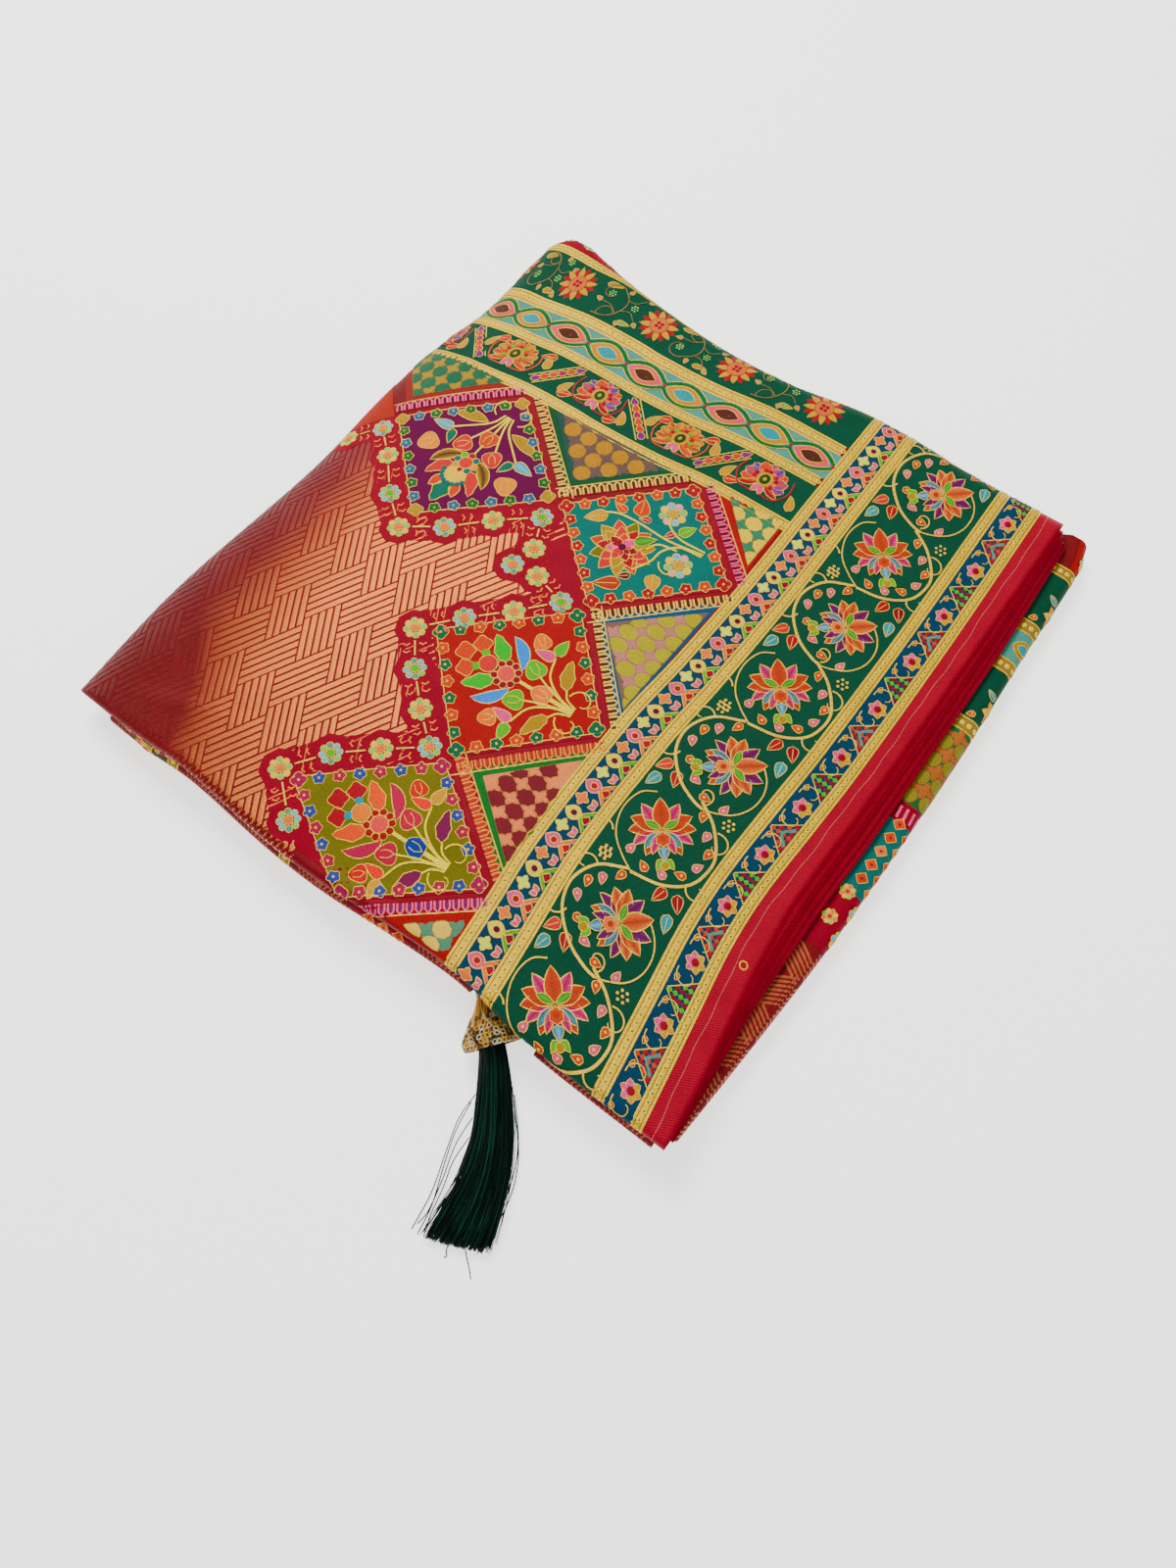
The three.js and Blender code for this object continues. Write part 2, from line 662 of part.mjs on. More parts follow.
const LOOK = {
  zari: { color: 0xb8432c, roughness: 0.5, metalness: 0.25 },
  inner: { color: 0x7d7a12, roughness: 0.7, metalness: 0 },
  red: { color: 0xb00f2a, roughness: 0.75, metalness: 0 },
  layers: { color: 0x7c1418, roughness: 0.85, metalness: 0 },
  gold: { color: 0xb8893a, roughness: 0.35, metalness: 0.8 },
  silk: { color: 0x0b3a2c, roughness: 0.45, metalness: 0 },
};

const sari = new THREE.Group();
sari.add(meshOf('core_layers', coreLayers(), LOOK.layers));
sari.add(meshOf('top_stretch', topStretch(), LOOK.zari));
sari.add(meshOf('inner_stretch', innerStretch(), LOOK.inner));
sari.add(meshOf('lower_front_fold', lowerFrontFold(-141, 50, 16, 5.5), LOOK.zari));
sari.add(meshOf('lower_front_fold_right', lowerFrontFold(84, 138, 6, 2.2), LOOK.zari));
sari.add(meshOf('lower_left_fold', lowerLeftFold(), LOOK.zari));
sari.add(meshOf('mid_fold', midFold(), LOOK.zari));
for (const layer of SELVEDGE_LAYERS) {
  sari.add(meshOf(layer.name, selvedgeLayer(layer), LOOK.red));
}
sari.add(meshOf('tassel_cap', tasselCap(), LOOK.gold));
sari.add(meshOf('tassel_skirt', tasselSkirt(), LOOK.silk));

export default sari;
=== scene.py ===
"""A zari-woven tissue sari folded into a flat bundle, with a silk tassel on its end piece.

Lengths are millimetres until a mesh is made. Pattern places are (x, y) on the top stretch as it
lies: plan millimetres over the flat part, and arc length past the left knee, the lip and the spine.
"""

import math

import bpy
import numpy as np
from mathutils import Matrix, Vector


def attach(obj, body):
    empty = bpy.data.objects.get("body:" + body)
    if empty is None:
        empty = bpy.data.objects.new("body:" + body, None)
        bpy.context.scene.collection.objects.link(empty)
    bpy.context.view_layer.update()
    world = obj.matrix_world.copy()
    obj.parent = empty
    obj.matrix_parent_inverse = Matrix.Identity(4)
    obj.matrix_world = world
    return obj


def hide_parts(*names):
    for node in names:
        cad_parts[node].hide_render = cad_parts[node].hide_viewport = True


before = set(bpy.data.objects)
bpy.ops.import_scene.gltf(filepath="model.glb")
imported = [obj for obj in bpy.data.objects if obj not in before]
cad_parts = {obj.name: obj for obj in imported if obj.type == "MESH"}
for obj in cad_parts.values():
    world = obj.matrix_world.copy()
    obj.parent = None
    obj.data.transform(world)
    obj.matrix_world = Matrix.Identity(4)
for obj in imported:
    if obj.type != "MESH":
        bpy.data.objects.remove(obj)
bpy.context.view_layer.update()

MM = 0.001
RANDOM_SEED = 11

# ---------------------------------------------------------------- sizes of the bundle

FRONT_Y, BACK_Y = -157.0, 157.0
CROWN_EDGE, CROWN_RISE = 23.0, 5.5
CROWN_MID_X, CROWN_HALF_X, CROWN_HALF_Y = -5.0, 150.0, 168.0
SAG_FROM, SAG_TO, SAG_DEPTH = 95.0, 145.0, 0.7
KNEE_X, TIP_Z, TUCK_DEPTH, TUCK_DROP = -112.0, 12.0, 13.0, 3.6
FOLD_REACH, FOLD_FALL, FOLD_PLAN = 44.0, 14.5, 45.0  # of the round left fold
SPINE_Z, SPINE_BULGE, SPINE_TURN = 7.0, 0.75, math.radians(111)
SPINE_REACH, SPINE_FALL, SPINE_TOP = 12.45, 16.6, 0.6
LIP_RADIUS, LIP_TIP_RADIUS, LIP_TURN = 3.1, 0.5, math.radians(128)
LOWER_Z, LOWER_RADIUS = 6.8, 4.6
INNER_Z, INNER_RADIUS = 14.6, 1.9
SELVEDGE_X = 131.0
CLOTH = 0.7  # thickness of the modelled cloth

# Plan outlines: station along the side, and how far out the side is there.
FRONT_EDGE = [(-158, -154), (-120, -155), (-95, -154), (-50, -157), (-20, -157), (10, -154.5),
              (45, -153), (75, -157), (143, -158)]
BACK_EDGE = [(-158, 156), (-140, 161), (-90, 154), (-45, 151.5), (-5, 152.5), (36, 159),
             (90, 158), (132, 160.5)]
LEFT_EDGE = [(-157, -157), (-95, -160), (-10, -155), (40, -156.5), (100, -154.5), (160, -151.5)]
LOWER_LEFT_EDGE = [(-152, -141), (-80, -142.5), (10, -139), (140, -138.5)]
SELVEDGE = [(-158, 142.5), (-135, 140), (-112, 136.5), (-87, 132.8), (-55, 130.2), (-10, 131.2),
            (80, 131.4), (162, 131)]
MID_FOLD_EDGE = [(-152, 144.2), (-110, 147.2), (-60, 150), (0, 151), (45, 150.6), (100, 149),
                 (150, 148), (163, 145)]

# Ridges and troughs: x, y, run in degrees from +X, half length, half width, height.
CREASES = [
    (78, -42, 8, 70, 13, -0.9), (95, -85, 14, 55, 15, 0.9), (-8, -138, 24, 34, 9, -1.6),
    (4, -118, 35, 30, 10, 1.0), (-95, -35, 80, 80, 16, 0.8), (-60, 108, 4, 75, 12, -1.1),
    (-55, 70, 6, 60, 14, 0.7), (-128, 118, 60, 26, 9, -1.2), (-50, 140, 2, 45, 12, -2.2),
    (60, 120, 85, 50, 14, 0.7), (-122, -120, 65, 32, 10, -1.0),
]
# Small puckers of the worked cloth, in the same columns.
PUCKERS = [
    (-10, -148, 12, 16, 2.6, -0.8), (-14, -140, 30, 12, 2.2, 0.4), (10, -146, 28, 16, 2.4, -0.6),
    (-36, -118, 60, 14, 3.0, 0.35), (16, -100, 15, 18, 3.2, -0.35), (-8, -80, 5, 22, 3.0, -0.3),
    (-8, -62, 88, 16, 3.4, 0.3), (62, -52, 10, 24, 3.2, -0.4), (88, -38, 4, 28, 3.4, 0.35),
    (108, -60, 16, 26, 3.0, -0.35), (52, -120, 70, 22, 3.2, 0.35), (92, -122, 20, 30, 3.6, -0.4),
    (-118, 96, 12, 26, 3.4, -0.45), (-134, 60, 78, 30, 4.0, 0.45), (-96, 128, 5, 34, 3.4, -0.4),
    (-24, 126, 3, 32, 3.2, 0.35), (14, 66, 82, 20, 3.0, 0.3), (-60, 24, 50, 22, 3.4, -0.3),
    (-128, -20, 84, 44, 4.4, 0.5), (-136, -80, 86, 40, 4.0, -0.45), (-110, -134, 20, 24, 3.6, 0.4),
    (84, 60, 92, 34, 3.8, -0.3), (104, 20, 88, 30, 3.2, 0.25), (60, 20, 86, 34, 3.6, 0.25),
]

# Loose selvedges: name, reach past the top one, depth at the root and at the edge, wave phase.
SELVEDGE_LAYERS = [
    ("selvedge_2", 2.6, 1.65, 2.8, 0.9), ("selvedge_3", 4.2, 3.0, 4.7, 2.3),
    ("selvedge_4", 6.9, 4.35, 7.0, 3.9), ("selvedge_5", 9.3, 5.75, 8.7, 5.2),
]
FAN = [(-158, 0.1), (-110, 0.5), (-60, 1), (20, 1), (90, 0.95), (150, 0.7)]
SELVEDGE_ROOT_X, SELVEDGE_FRONT = 110.0, -153.5

# ---------------------------------------------------------------- colours, as sRGB 0 to 255

DEEP_GREEN, GRASS, LIME = (0, 86, 58), (24, 128, 44), (132, 186, 36)
NAVY, TEAL, CYAN, SKY = (0, 76, 108), (4, 130, 122), (20, 172, 178), (108, 166, 156)
RUST, ROSE_RED, OLD_GOLD = (200, 78, 22), (206, 22, 58), (176, 144, 60)
BLUE, PURPLE, PLUM, VIOLET = (8, 92, 180), (120, 0, 76), (108, 4, 52), (152, 54, 150)
CRIMSON, RED, BRICK, MAROON = (176, 8, 34), (196, 22, 30), (152, 22, 14), (120, 18, 26)
FLAME, ORANGE, PEACH, CORAL = (190, 36, 4), (218, 98, 16), (226, 160, 104), (220, 82, 64)
MAGENTA, PINK, SALMON = (190, 18, 96), (222, 116, 160), (226, 118, 104)
YELLOW, MUSTARD, OLIVE, BROWN = (208, 170, 36), (190, 156, 36), (140, 128, 14), (100, 42, 24)
GREY_BROWN, ROSE_BEIGE = (130, 96, 84), (198, 150, 132)
CREAM, GOLD = (228, 210, 158), (218, 194, 104)
DARK_GOLD, PALE_GOLD = (150, 116, 40), (226, 212, 150)
PALE_GREEN, PALE_BLUE = (168, 194, 130), (150, 190, 196)
# The basket weave's colours in its painted sheen and in its painted shade.
ZARI_IN_SHEEN, ZARI_IN_SHADE = (228, 182, 138), (152, 32, 20)

# The view transform, measured on grey patches and fitted on coloured ones: the channels mix,
# pass a curve from light to shown brightness, and mix back.
SHOWN = [0, 0.0009, 0.0048, 0.0144, 0.0423, 0.0953, 0.1812, 0.2831, 0.3763, 0.4621, 0.5333,
         0.6105, 0.6724, 0.8]
THROWN = [0, 0.002, 0.008, 0.02, 0.05, 0.1, 0.18, 0.3, 0.45, 0.65, 0.9, 1.3, 1.8, 3.0]
MIX_IN = np.array([[0.610, 0.300, 0.090], [0.106, 0.773, 0.121], [0.088, 0.184, 0.728]])
MIX_BACK = np.array([[1.690, -0.548, -0.142], [-0.178, 1.245, -0.067], [-0.177, -0.275, 1.452]])
STUDIO_LIGHT = 1.7
BRIGHTEST = 0.9


def dye(colour):
    """The albedo that shows as a colour given as sRGB, 0 to 255, under the studio light."""
    c = np.asarray(colour, float) / 255
    shown = np.where(c <= 0.04045, c / 12.92, ((c + 0.055) / 1.055) ** 2.4)
    film = np.linalg.solve(MIX_BACK, shown)
    albedo = np.linalg.solve(MIX_IN, np.interp(film, SHOWN, THROWN)) / STUDIO_LIGHT
    return np.clip(albedo, 0, None) * min(1, BRIGHTEST / albedo.max())


# ---------------------------------------------------------------- the lie of the cloth


def lerp(a, b, t):
    return a + (b - a) * t


def ease(x, low, high):
    t = np.clip((np.asarray(x, float) - low) / (high - low), 0, 1)
    return t * t * (3 - 2 * t)


def along(table, at):
    """Value of a two-column table at one station, on a smooth curve through its rows."""
    stations, values = np.array(table, float).T
    at = np.asarray(at, float)
    last = len(stations) - 1
    a = np.clip(np.searchsorted(stations, at, side="left") - 1, 0, last - 1)
    b = a + 1
    before, after = np.maximum(a - 1, 0), np.minimum(a + 2, last)
    span = stations[b] - stations[a]
    t = np.clip((at - stations[a]) / span, 0, 1)
    slope_a = (values[b] - values[before]) / (stations[b] - stations[before]) * span
    slope_b = (values[after] - values[a]) / (stations[after] - stations[a]) * span
    return ((2 * t**3 - 3 * t**2 + 1) * values[a] + (t**3 - 2 * t**2 + t) * slope_a
            + (3 * t**2 - 2 * t**3) * values[b] + (t**3 - t**2) * slope_b)


def ridges(table, x, y):
    total = np.zeros(np.broadcast(x, y).shape)
    for cx, cy, turn, length, width, height in table:
        c, s = math.cos(math.radians(turn)), math.sin(math.radians(turn))
        run = ((x - cx) * c + (y - cy) * s) / length
        side = ((y - cy) * c - (x - cx) * s) / width
        total = total + height * np.exp(-run * run - side * side)
    return total


def top_height(x, y, fine=True):
    across = 1 - ((x - CROWN_MID_X) / CROWN_HALF_X) ** 2
    lengthwise = 1 - (y / CROWN_HALF_Y) ** 2
    sag = SAG_DEPTH * ease(x, SAG_FROM, SAG_TO)
    smooth = CROWN_EDGE + CROWN_RISE * across * lengthwise - sag + ridges(CREASES, x, y)
    return smooth + ridges(PUCKERS, x, y) if fine else smooth


def through(a, b, c, d, t):
    """A smooth curve from b to c, with a before and d after them."""
    return 0.5 * (2 * b + (c - a) * t + (2 * a - 5 * b + 4 * c - d) * t**2
                  + (3 * b - a - 3 * c + d) * t**3)


def arc_table(point_at, turn):
    """Arc length against angle, for a curve given by its angle."""
    angles = np.linspace(0, turn, 200)
    steps = np.diff(np.stack(point_at(angles), 1), axis=0)
    return np.concatenate([[0], np.cumsum(np.hypot(*steps.T))]), angles


FOLD_ARC = arc_table(lambda a: (FOLD_REACH * np.sin(a), FOLD_FALL * np.cos(a)), math.pi / 2)
TUCK_ARC = arc_table(lambda a: (-TUCK_DEPTH * np.cos(a), TUCK_DROP * np.sin(a)), math.pi / 2)
SPINE_ARC = arc_table(lambda a: (SPINE_REACH * np.sin(a), SPINE_FALL * np.cos(a)), SPINE_TURN)
FOLD_LENGTH, TUCK_LENGTH, SPINE_LENGTH = FOLD_ARC[0][-1], TUCK_ARC[0][-1], SPINE_ARC[0][-1]
LEFT_END = KNEE_X - FOLD_LENGTH - TUCK_LENGTH


def fold_angles(x):
    """Angles over the round fold and through its tuck, for places past the knee."""
    past = np.maximum(KNEE_X - x, 0)
    return np.interp(past, *FOLD_ARC), np.interp(past - FOLD_LENGTH, *TUCK_ARC)


def knees(x):
    """Where the flat part ends at the front and at the back, and the lip's radius and turn."""
    fold = fold_angles(x)[0]
    flank = (fold / (math.pi / 2)) ** 2
    plan_x = np.maximum(x, KNEE_X) - FOLD_PLAN * np.sin(fold)
    radius = lerp(LIP_RADIUS, LIP_TIP_RADIUS, flank)
    front = along(FRONT_EDGE, plan_x) + radius
    back = along(BACK_EDGE, plan_x) - SPINE_BULGE * (CROWN_EDGE + SPINE_TOP - SPINE_Z)
    return front, back, radius, LIP_TURN * (1 - 0.8 * flank)


# By x: how far the back edge swells out, and how far the corner over the round fold stands up.
BACK_SWELL = [(-176, 1.5), (-168, 4.5), (-158, 7.5), (-145, 7.5), (-120, 6), (-70, 5.5),
              (-30, 4), (36, 3), (131, 3.5)]
CORNER_STAND = [(-176, 0), (-166, 2.5), (-150, 5), (-132, 4), (-105, 1.8), (-40, 1), (60, 0)]


def swell(x, y, over):
    """How the cloth fills out towards the back, most of all at the corner over the round fold."""
    back = ease(y, 100, 152)
    inward = 4.5 * ease(-x, 115, 160) * ease(y, 60, 115)
    stand = along(CORNER_STAND, x) * back * (1 - ease(over, 0.2, 1.4))
    return np.stack([inward, along(BACK_SWELL, x) * back, stand], -1)


SPINE_HEM = 1.0  # height of the spine's lower edge at the corner over the round fold


def corner_hang(x, arm, over):
    """How much further down the cloth hangs at the back, where the round fold leaves it short."""
    short = np.maximum(SPINE_Z + arm * math.cos(SPINE_TURN) - SPINE_HEM, 0)
    return short * ease(-x, 100, 140) * ease(over, 0.5, SPINE_TURN)


def drape(x, y, drop=0.0, fine=True):
    """Points of the top stretch, or of a layer that lies drop under it."""
    x, y = np.broadcast_arrays(np.asarray(x, float), np.asarray(y, float))
    front, back, radius, turn = knees(x)
    flat_y = np.clip(y, front, back)
    fold, tuck = fold_angles(x)
    tip_x = along(LEFT_EDGE, flat_y)
    plan_x = np.where(x >= KNEE_X, x, KNEE_X + (tip_x - KNEE_X) * np.sin(fold))
    height = top_height(plan_x, flat_y, fine)
    z = np.where(x >= KNEE_X, height, TIP_Z + (height - TIP_Z) * np.cos(fold))
    z = z - TUCK_DROP * np.sin(tuck) - drop
    px = plan_x + TUCK_DEPTH * (1 - np.cos(tuck))
    curl = np.minimum(np.maximum(front - y, 0) / radius, turn)
    down = radius * (1 - np.cos(curl))
    lean = np.clip(fold + tuck, 0, 0.8 * math.pi)
    over = np.interp(np.maximum(y - back, 0), *SPINE_ARC)
    arm = z - SPINE_Z
    out = (SPINE_BULGE * (arm + drop) - drop) * np.sin(over)
    py = flat_y - radius * np.sin(curl) + out
    pz = np.where(over > 0, SPINE_Z + arm * np.cos(over) - corner_hang(x, arm, over), z)
    pz = pz - np.cos(lean) * down
    return np.stack([px + np.sin(lean) * down, py, pz], -1) + swell(x, flat_y, over)


NORMAL_STEP = 0.4  # how far to each side a surface is sampled for its normal


def lifted(surface, x, y, lift):
    """Points of a surface moved out along its normal."""
    middle = surface(x, y)
    across = surface(x + NORMAL_STEP, y) - surface(x - NORMAL_STEP, y)
    lengthwise = surface(x, y + NORMAL_STEP) - surface(x, y - NORMAL_STEP)
    normal = np.cross(across, lengthwise)
    size = np.maximum(np.linalg.norm(normal, axis=-1, keepdims=True), 1e-9)
    return middle + normal / size * np.asarray(lift)[..., None]


def lay_on(surface):
    """Where pattern places and their lifts come to lie on a surface."""
    return lambda x, y, lift: lifted(surface, x, y, lift)


def fold_lay(place, radius):
    """A fold strip: at runs along the side, s is arc length round the fold, 0 at its middle."""
    half = radius * math.pi / 2

    def surface(at, s):
        turn = np.clip(s / radius, -math.pi / 2, math.pi / 2)
        depth = radius - radius * np.cos(turn) + np.maximum(np.abs(s) - half, 0)
        return place(at, depth, radius * np.sin(turn))

    return surface


def from_left(at, depth, rise):
    """Runs from the spine to the front, so that the outer face is on its left."""
    return np.stack([along(LOWER_LEFT_EDGE, -at) + depth, -at, LOWER_Z + rise], -1)


def from_right(y, depth, rise):
    return np.stack([along(MID_FOLD_EDGE, y) - depth, y, LOWER_Z + rise], -1)


def from_front(x, depth, rise):
    height = LOWER_Z - 0.15 + 0.15 * np.sin(x / 19)
    return np.stack([x, along(FRONT_EDGE, x) - 0.8 + depth, height + rise], -1)


def from_inner_front(x, depth, rise):
    height = INNER_Z - 0.4 * ease(-x, 60, 130) + 0.25 * np.sin(x / 13)
    tuck = 1.6 - 1.4 * ease(-x, 70, 120)
    return np.stack([x, along(FRONT_EDGE, x) + tuck + depth, height + rise], -1)


# ---------------------------------------------------------------- materials


def add_node(tree, kind, **settings):
    made = tree.nodes.new(kind)
    for key, value in settings.items():
        setattr(made, key, value)
    return made


def set_inputs(node, values):
    for key, value in values.items():
        node.inputs[key].default_value = value


def pattern_node(tree, kind, vector, values, **settings):
    """A node that takes a vector, with some of its inputs set."""
    made = add_node(tree, kind, **settings)
    tree.links.new(vector, made.inputs["Vector"])
    set_inputs(made, values)
    return made


def mapped(tree, source, low, high):
    """A number from 0 to 1 spread between low and high."""
    ranged = add_node(tree, "ShaderNodeMapRange")
    tree.links.new(source, ranged.inputs["Value"])
    set_inputs(ranged, {"To Min": low, "To Max": high})
    return ranged.outputs["Result"]


def math_node(tree, operation, a, b):
    """The sum or product of two outputs."""
    made = add_node(tree, "ShaderNodeMath", operation=operation)
    for socket, source in zip(made.inputs, (a, b)):
        tree.links.new(source, socket)
    return made.outputs[0]


def textile(name, roughness, metallic=0.0, pitch=0.55, turn=0.0, mottle=0.18, hatch=0.18,
            bump=0.25, spread=0.12, stretch=(1.0, 1.0), specular=0.12):
    """A woven or stitched finish over the colours in the tint attribute."""
    material = bpy.data.materials.new(name)
    material.use_nodes = True
    tree = material.node_tree
    shader = tree.nodes["Principled BSDF"]
    tint = add_node(tree, "ShaderNodeAttribute", attribute_name="tint")
    place = add_node(tree, "ShaderNodeUVMap", uv_map="cloth").outputs["UV"]
    turned = pattern_node(tree, "ShaderNodeMapping", place, {
        "Rotation": (0, 0, math.radians(turn)), "Scale": (*stretch, 1),
    }).outputs["Vector"]
    threads = pattern_node(tree, "ShaderNodeTexWave", turned, {
        "Scale": 2 * math.pi / (20 * pitch), "Distortion": 1.2, "Detail": 2, "Detail Scale": 1.4,
    }, wave_type="BANDS", bands_direction="X").outputs["Fac"]
    noise = "ShaderNodeTexNoise"
    fine = pattern_node(tree, noise, turned, {"Scale": 1.1, "Detail": 4}).outputs["Fac"]
    broad = pattern_node(tree, noise, place, {"Scale": 0.09, "Detail": 2}).outputs["Fac"]
    speckle = mapped(tree, fine, 1 - mottle * 1.6, 1 + mottle * 1.6)
    shade = math_node(tree, "MULTIPLY", speckle, mapped(tree, threads, 1 - hatch, 1 + hatch * 0.5))
    shade = math_node(tree, "MULTIPLY", shade, mapped(tree, broad, 0.84, 1.16))
    colour = add_node(tree, "ShaderNodeVectorMath", operation="SCALE")
    tree.links.new(tint.outputs["Color"], colour.inputs[0])
    tree.links.new(shade, colour.inputs["Scale"])
    tree.links.new(colour.outputs["Vector"], shader.inputs["Base Color"])
    rough = mapped(tree, fine, roughness - spread, roughness + spread)
    tree.links.new(rough, shader.inputs["Roughness"])
    raised = add_node(tree, "ShaderNodeBump")
    set_inputs(raised, {"Strength": bump, "Distance": 0.00025})
    tree.links.new(math_node(tree, "ADD", threads, fine), raised.inputs["Height"])
    tree.links.new(raised.outputs["Normal"], shader.inputs["Normal"])
    set_inputs(shader, {"Metallic": metallic, "Specular IOR Level": specular})
    return material


BROCADE = textile("brocade_ground", 0.55, metallic=0.15, pitch=0.9, turn=62, hatch=0.24,
                  specular=0.08)
ZARI_WEAVE = textile("zari_weave", 0.38, metallic=0.6, pitch=0.8, turn=24, mottle=0.32, hatch=0.3,
                     bump=0.5, spread=0.14, stretch=(1.0, 1.6), specular=0.2)
SATIN = textile("satin_ground", 0.6, pitch=0.6, turn=3, mottle=0.26, hatch=0.24, specular=0.05)
RESHAM = textile("resham_fill", 0.5, pitch=0.7, turn=38, mottle=0.28, hatch=0.34, bump=0.5,
                 specular=0.08)
ZARI = textile("zari_thread", 0.4, metallic=0.2, pitch=0.6, turn=55, mottle=0.38, hatch=0.3,
               bump=0.5, specular=0.2)
SELVEDGE_CLOTH = textile("selvedge_cloth", 0.75, pitch=0.7, turn=0, mottle=0.2, hatch=0.22,
                         bump=0.4, specular=0.08)
HIDDEN = textile("hidden_layers", 0.75, pitch=1.2, turn=90, mottle=0.25, hatch=0.3, bump=0.5)
TASSEL_SILK = textile("tassel_silk", 0.36, pitch=0.8, mottle=0.3, hatch=0.2, bump=0.3)
GOLD_THREAD = textile("gold_thread", 0.3, metallic=0.3, pitch=0.7, turn=30, mottle=0.3,
                      hatch=0.3, bump=0.6, specular=0.6)

# ---------------------------------------------------------------- meshes


def placed(name, data):
    """A new object in the scene."""
    made = bpy.data.objects.new(name, data)
    bpy.context.scene.collection.objects.link(made)
    return made


def new_piece(name, points, faces, tints, flat_places, material):
    """One mesh piece on the root body, with its colours and its cloth coordinates."""
    mesh = bpy.data.meshes.new(name)
    mesh.from_pydata((np.asarray(points) * MM).tolist(), [], faces)
    mesh.update()
    colours = mesh.color_attributes.new(name="tint", type="FLOAT_COLOR", domain="POINT")
    rgba = np.ones((len(points), 4))
    rgba[:, :3] = tints
    colours.data.foreach_set("color", rgba.ravel())
    corners = np.zeros(len(mesh.loops), int)
    mesh.loops.foreach_get("vertex_index", corners)
    places = np.asarray(flat_places, float)
    mesh.uv_layers.new(name="cloth").data.foreach_set("uv", places[corners].ravel())
    low, span = places.min(0), np.ptp(places, axis=0) + 1e-6
    baked = 0.01 + 0.98 * (places[corners] - low) / span
    mesh.uv_layers.new(name="OFBake").data.foreach_set("uv", baked.ravel())
    mesh.uv_layers["cloth"].active = True
    mesh.polygons.foreach_set("use_smooth", [True] * len(mesh.polygons))
    mesh.materials.append(material)
    piece = placed(name, mesh)
    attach(piece, "root")
    return piece


def grid_faces(rows, columns):
    i, j = np.meshgrid(np.arange(rows - 1), np.arange(columns - 1), indexing="ij")
    a = (i * columns + j).ravel()
    return np.stack([a, a + 1, a + columns + 1, a + columns], 1)


def sheet_piece(name, outer, inner, tints, places, material):
    """A thin closed sheet between two grids of points, rows by columns."""
    rows, columns = outer.shape[:2]
    count = rows * columns
    face = grid_faces(rows, columns)
    first, last = np.arange(columns), (rows - 1) * columns + np.arange(columns)
    left, right = np.arange(rows) * columns, np.arange(rows) * columns + columns - 1
    loop = np.concatenate([first, right[1:], last[::-1][1:], left[::-1][1:]])
    rim = np.stack([loop[:-1], loop[:-1] + count, loop[1:] + count, loop[1:]], 1)
    faces = np.concatenate([face[:, ::-1], face + count, rim[:, ::-1]]).tolist()
    points = np.concatenate([outer.reshape(-1, 3), inner.reshape(-1, 3)])
    if not faces_out(outer, inner):
        faces = [f[::-1] for f in faces]
    both_tints = np.concatenate([tints.reshape(-1, 3)] * 2)
    shifted = places.reshape(-1, 2) + np.array([np.ptp(places[..., 0]) + 2, 0])
    both_places = np.concatenate([places.reshape(-1, 2), shifted])
    return new_piece(name, points, faces, both_tints, both_places, material)


def faces_out(outer, inner):
    """Whether a reversed grid face looks from the inner grid to the outer one."""
    i, j = outer.shape[0] // 2, outer.shape[1] // 2
    a = outer[i + 1, j] - outer[i, j]
    b = outer[i, j + 1] - outer[i, j]
    return np.dot(np.cross(a, b), outer[i, j] - inner[i, j]) > 0


class Sheaf:
    """Flat shapes on one face of the cloth that become one mesh."""

    def __init__(self, name, lay, material, slot):
        self.name, self.lay, self.material, self.slot = name, lay, material, slot
        self.places, self.lifts, self.tints, self.faces = [], [], [], []
        self.count = 0

    def add(self, places, lifts, faces, tint):
        """Adds points at places on the cloth, and faces as lists of those points."""
        self.places.append(places)
        self.lifts.append(lifts)
        self.tints.append(np.broadcast_to(tint, (len(places), 3)))
        self.faces.extend([[i + self.count for i in face] for face in faces])
        self.count += len(places)

    def build(self):
        places = np.concatenate(self.places)
        lifts = np.concatenate(self.lifts)
        points = self.lay(places[:, 0], places[:, 1], lifts)
        tints = np.concatenate(self.tints)
        new_piece(self.name, points, self.faces, tints, places, self.material)


# How high each kind of shape lies over the cloth, and the relief of the shapes themselves.
GROUND, STRIPE, FILL, DETAIL, THREAD = 0.16, 0.06, 0.24, 0.42, 0.44
THREAD_SINK, RIM_RISE, PETAL_CROWN, VEIN_RISE, VEIN_WIDTH = 0.02, 0.04, 0.1, 0.12, 0.3
DISC_SHOULDER = 0.62  # part of a disc's radius where its flat middle begins
LAYER_BASE = {"ground": GROUND, "fill": FILL, "detail": DETAIL, "thread": THREAD}


def cut_to(ring, middle, corners):
    """Draws the points of a ring in towards its middle until they lie in a convex field."""
    corners = np.asarray(corners, float)
    a, b = corners, np.roll(corners, -1, 0)
    normal = np.stack([b[:, 1] - a[:, 1], a[:, 0] - b[:, 0]], 1)
    normal *= np.sign(((corners.mean(0) - a) * normal).sum(1))[:, None]
    room = ((middle - a) * normal).sum(1)
    reach = (ring - middle) @ normal.T
    part = np.where(reach < 0, room / np.maximum(-reach, 1e-9), 1).min(1)
    return middle + (ring - middle) * np.clip(part, 0, 1)[:, None]


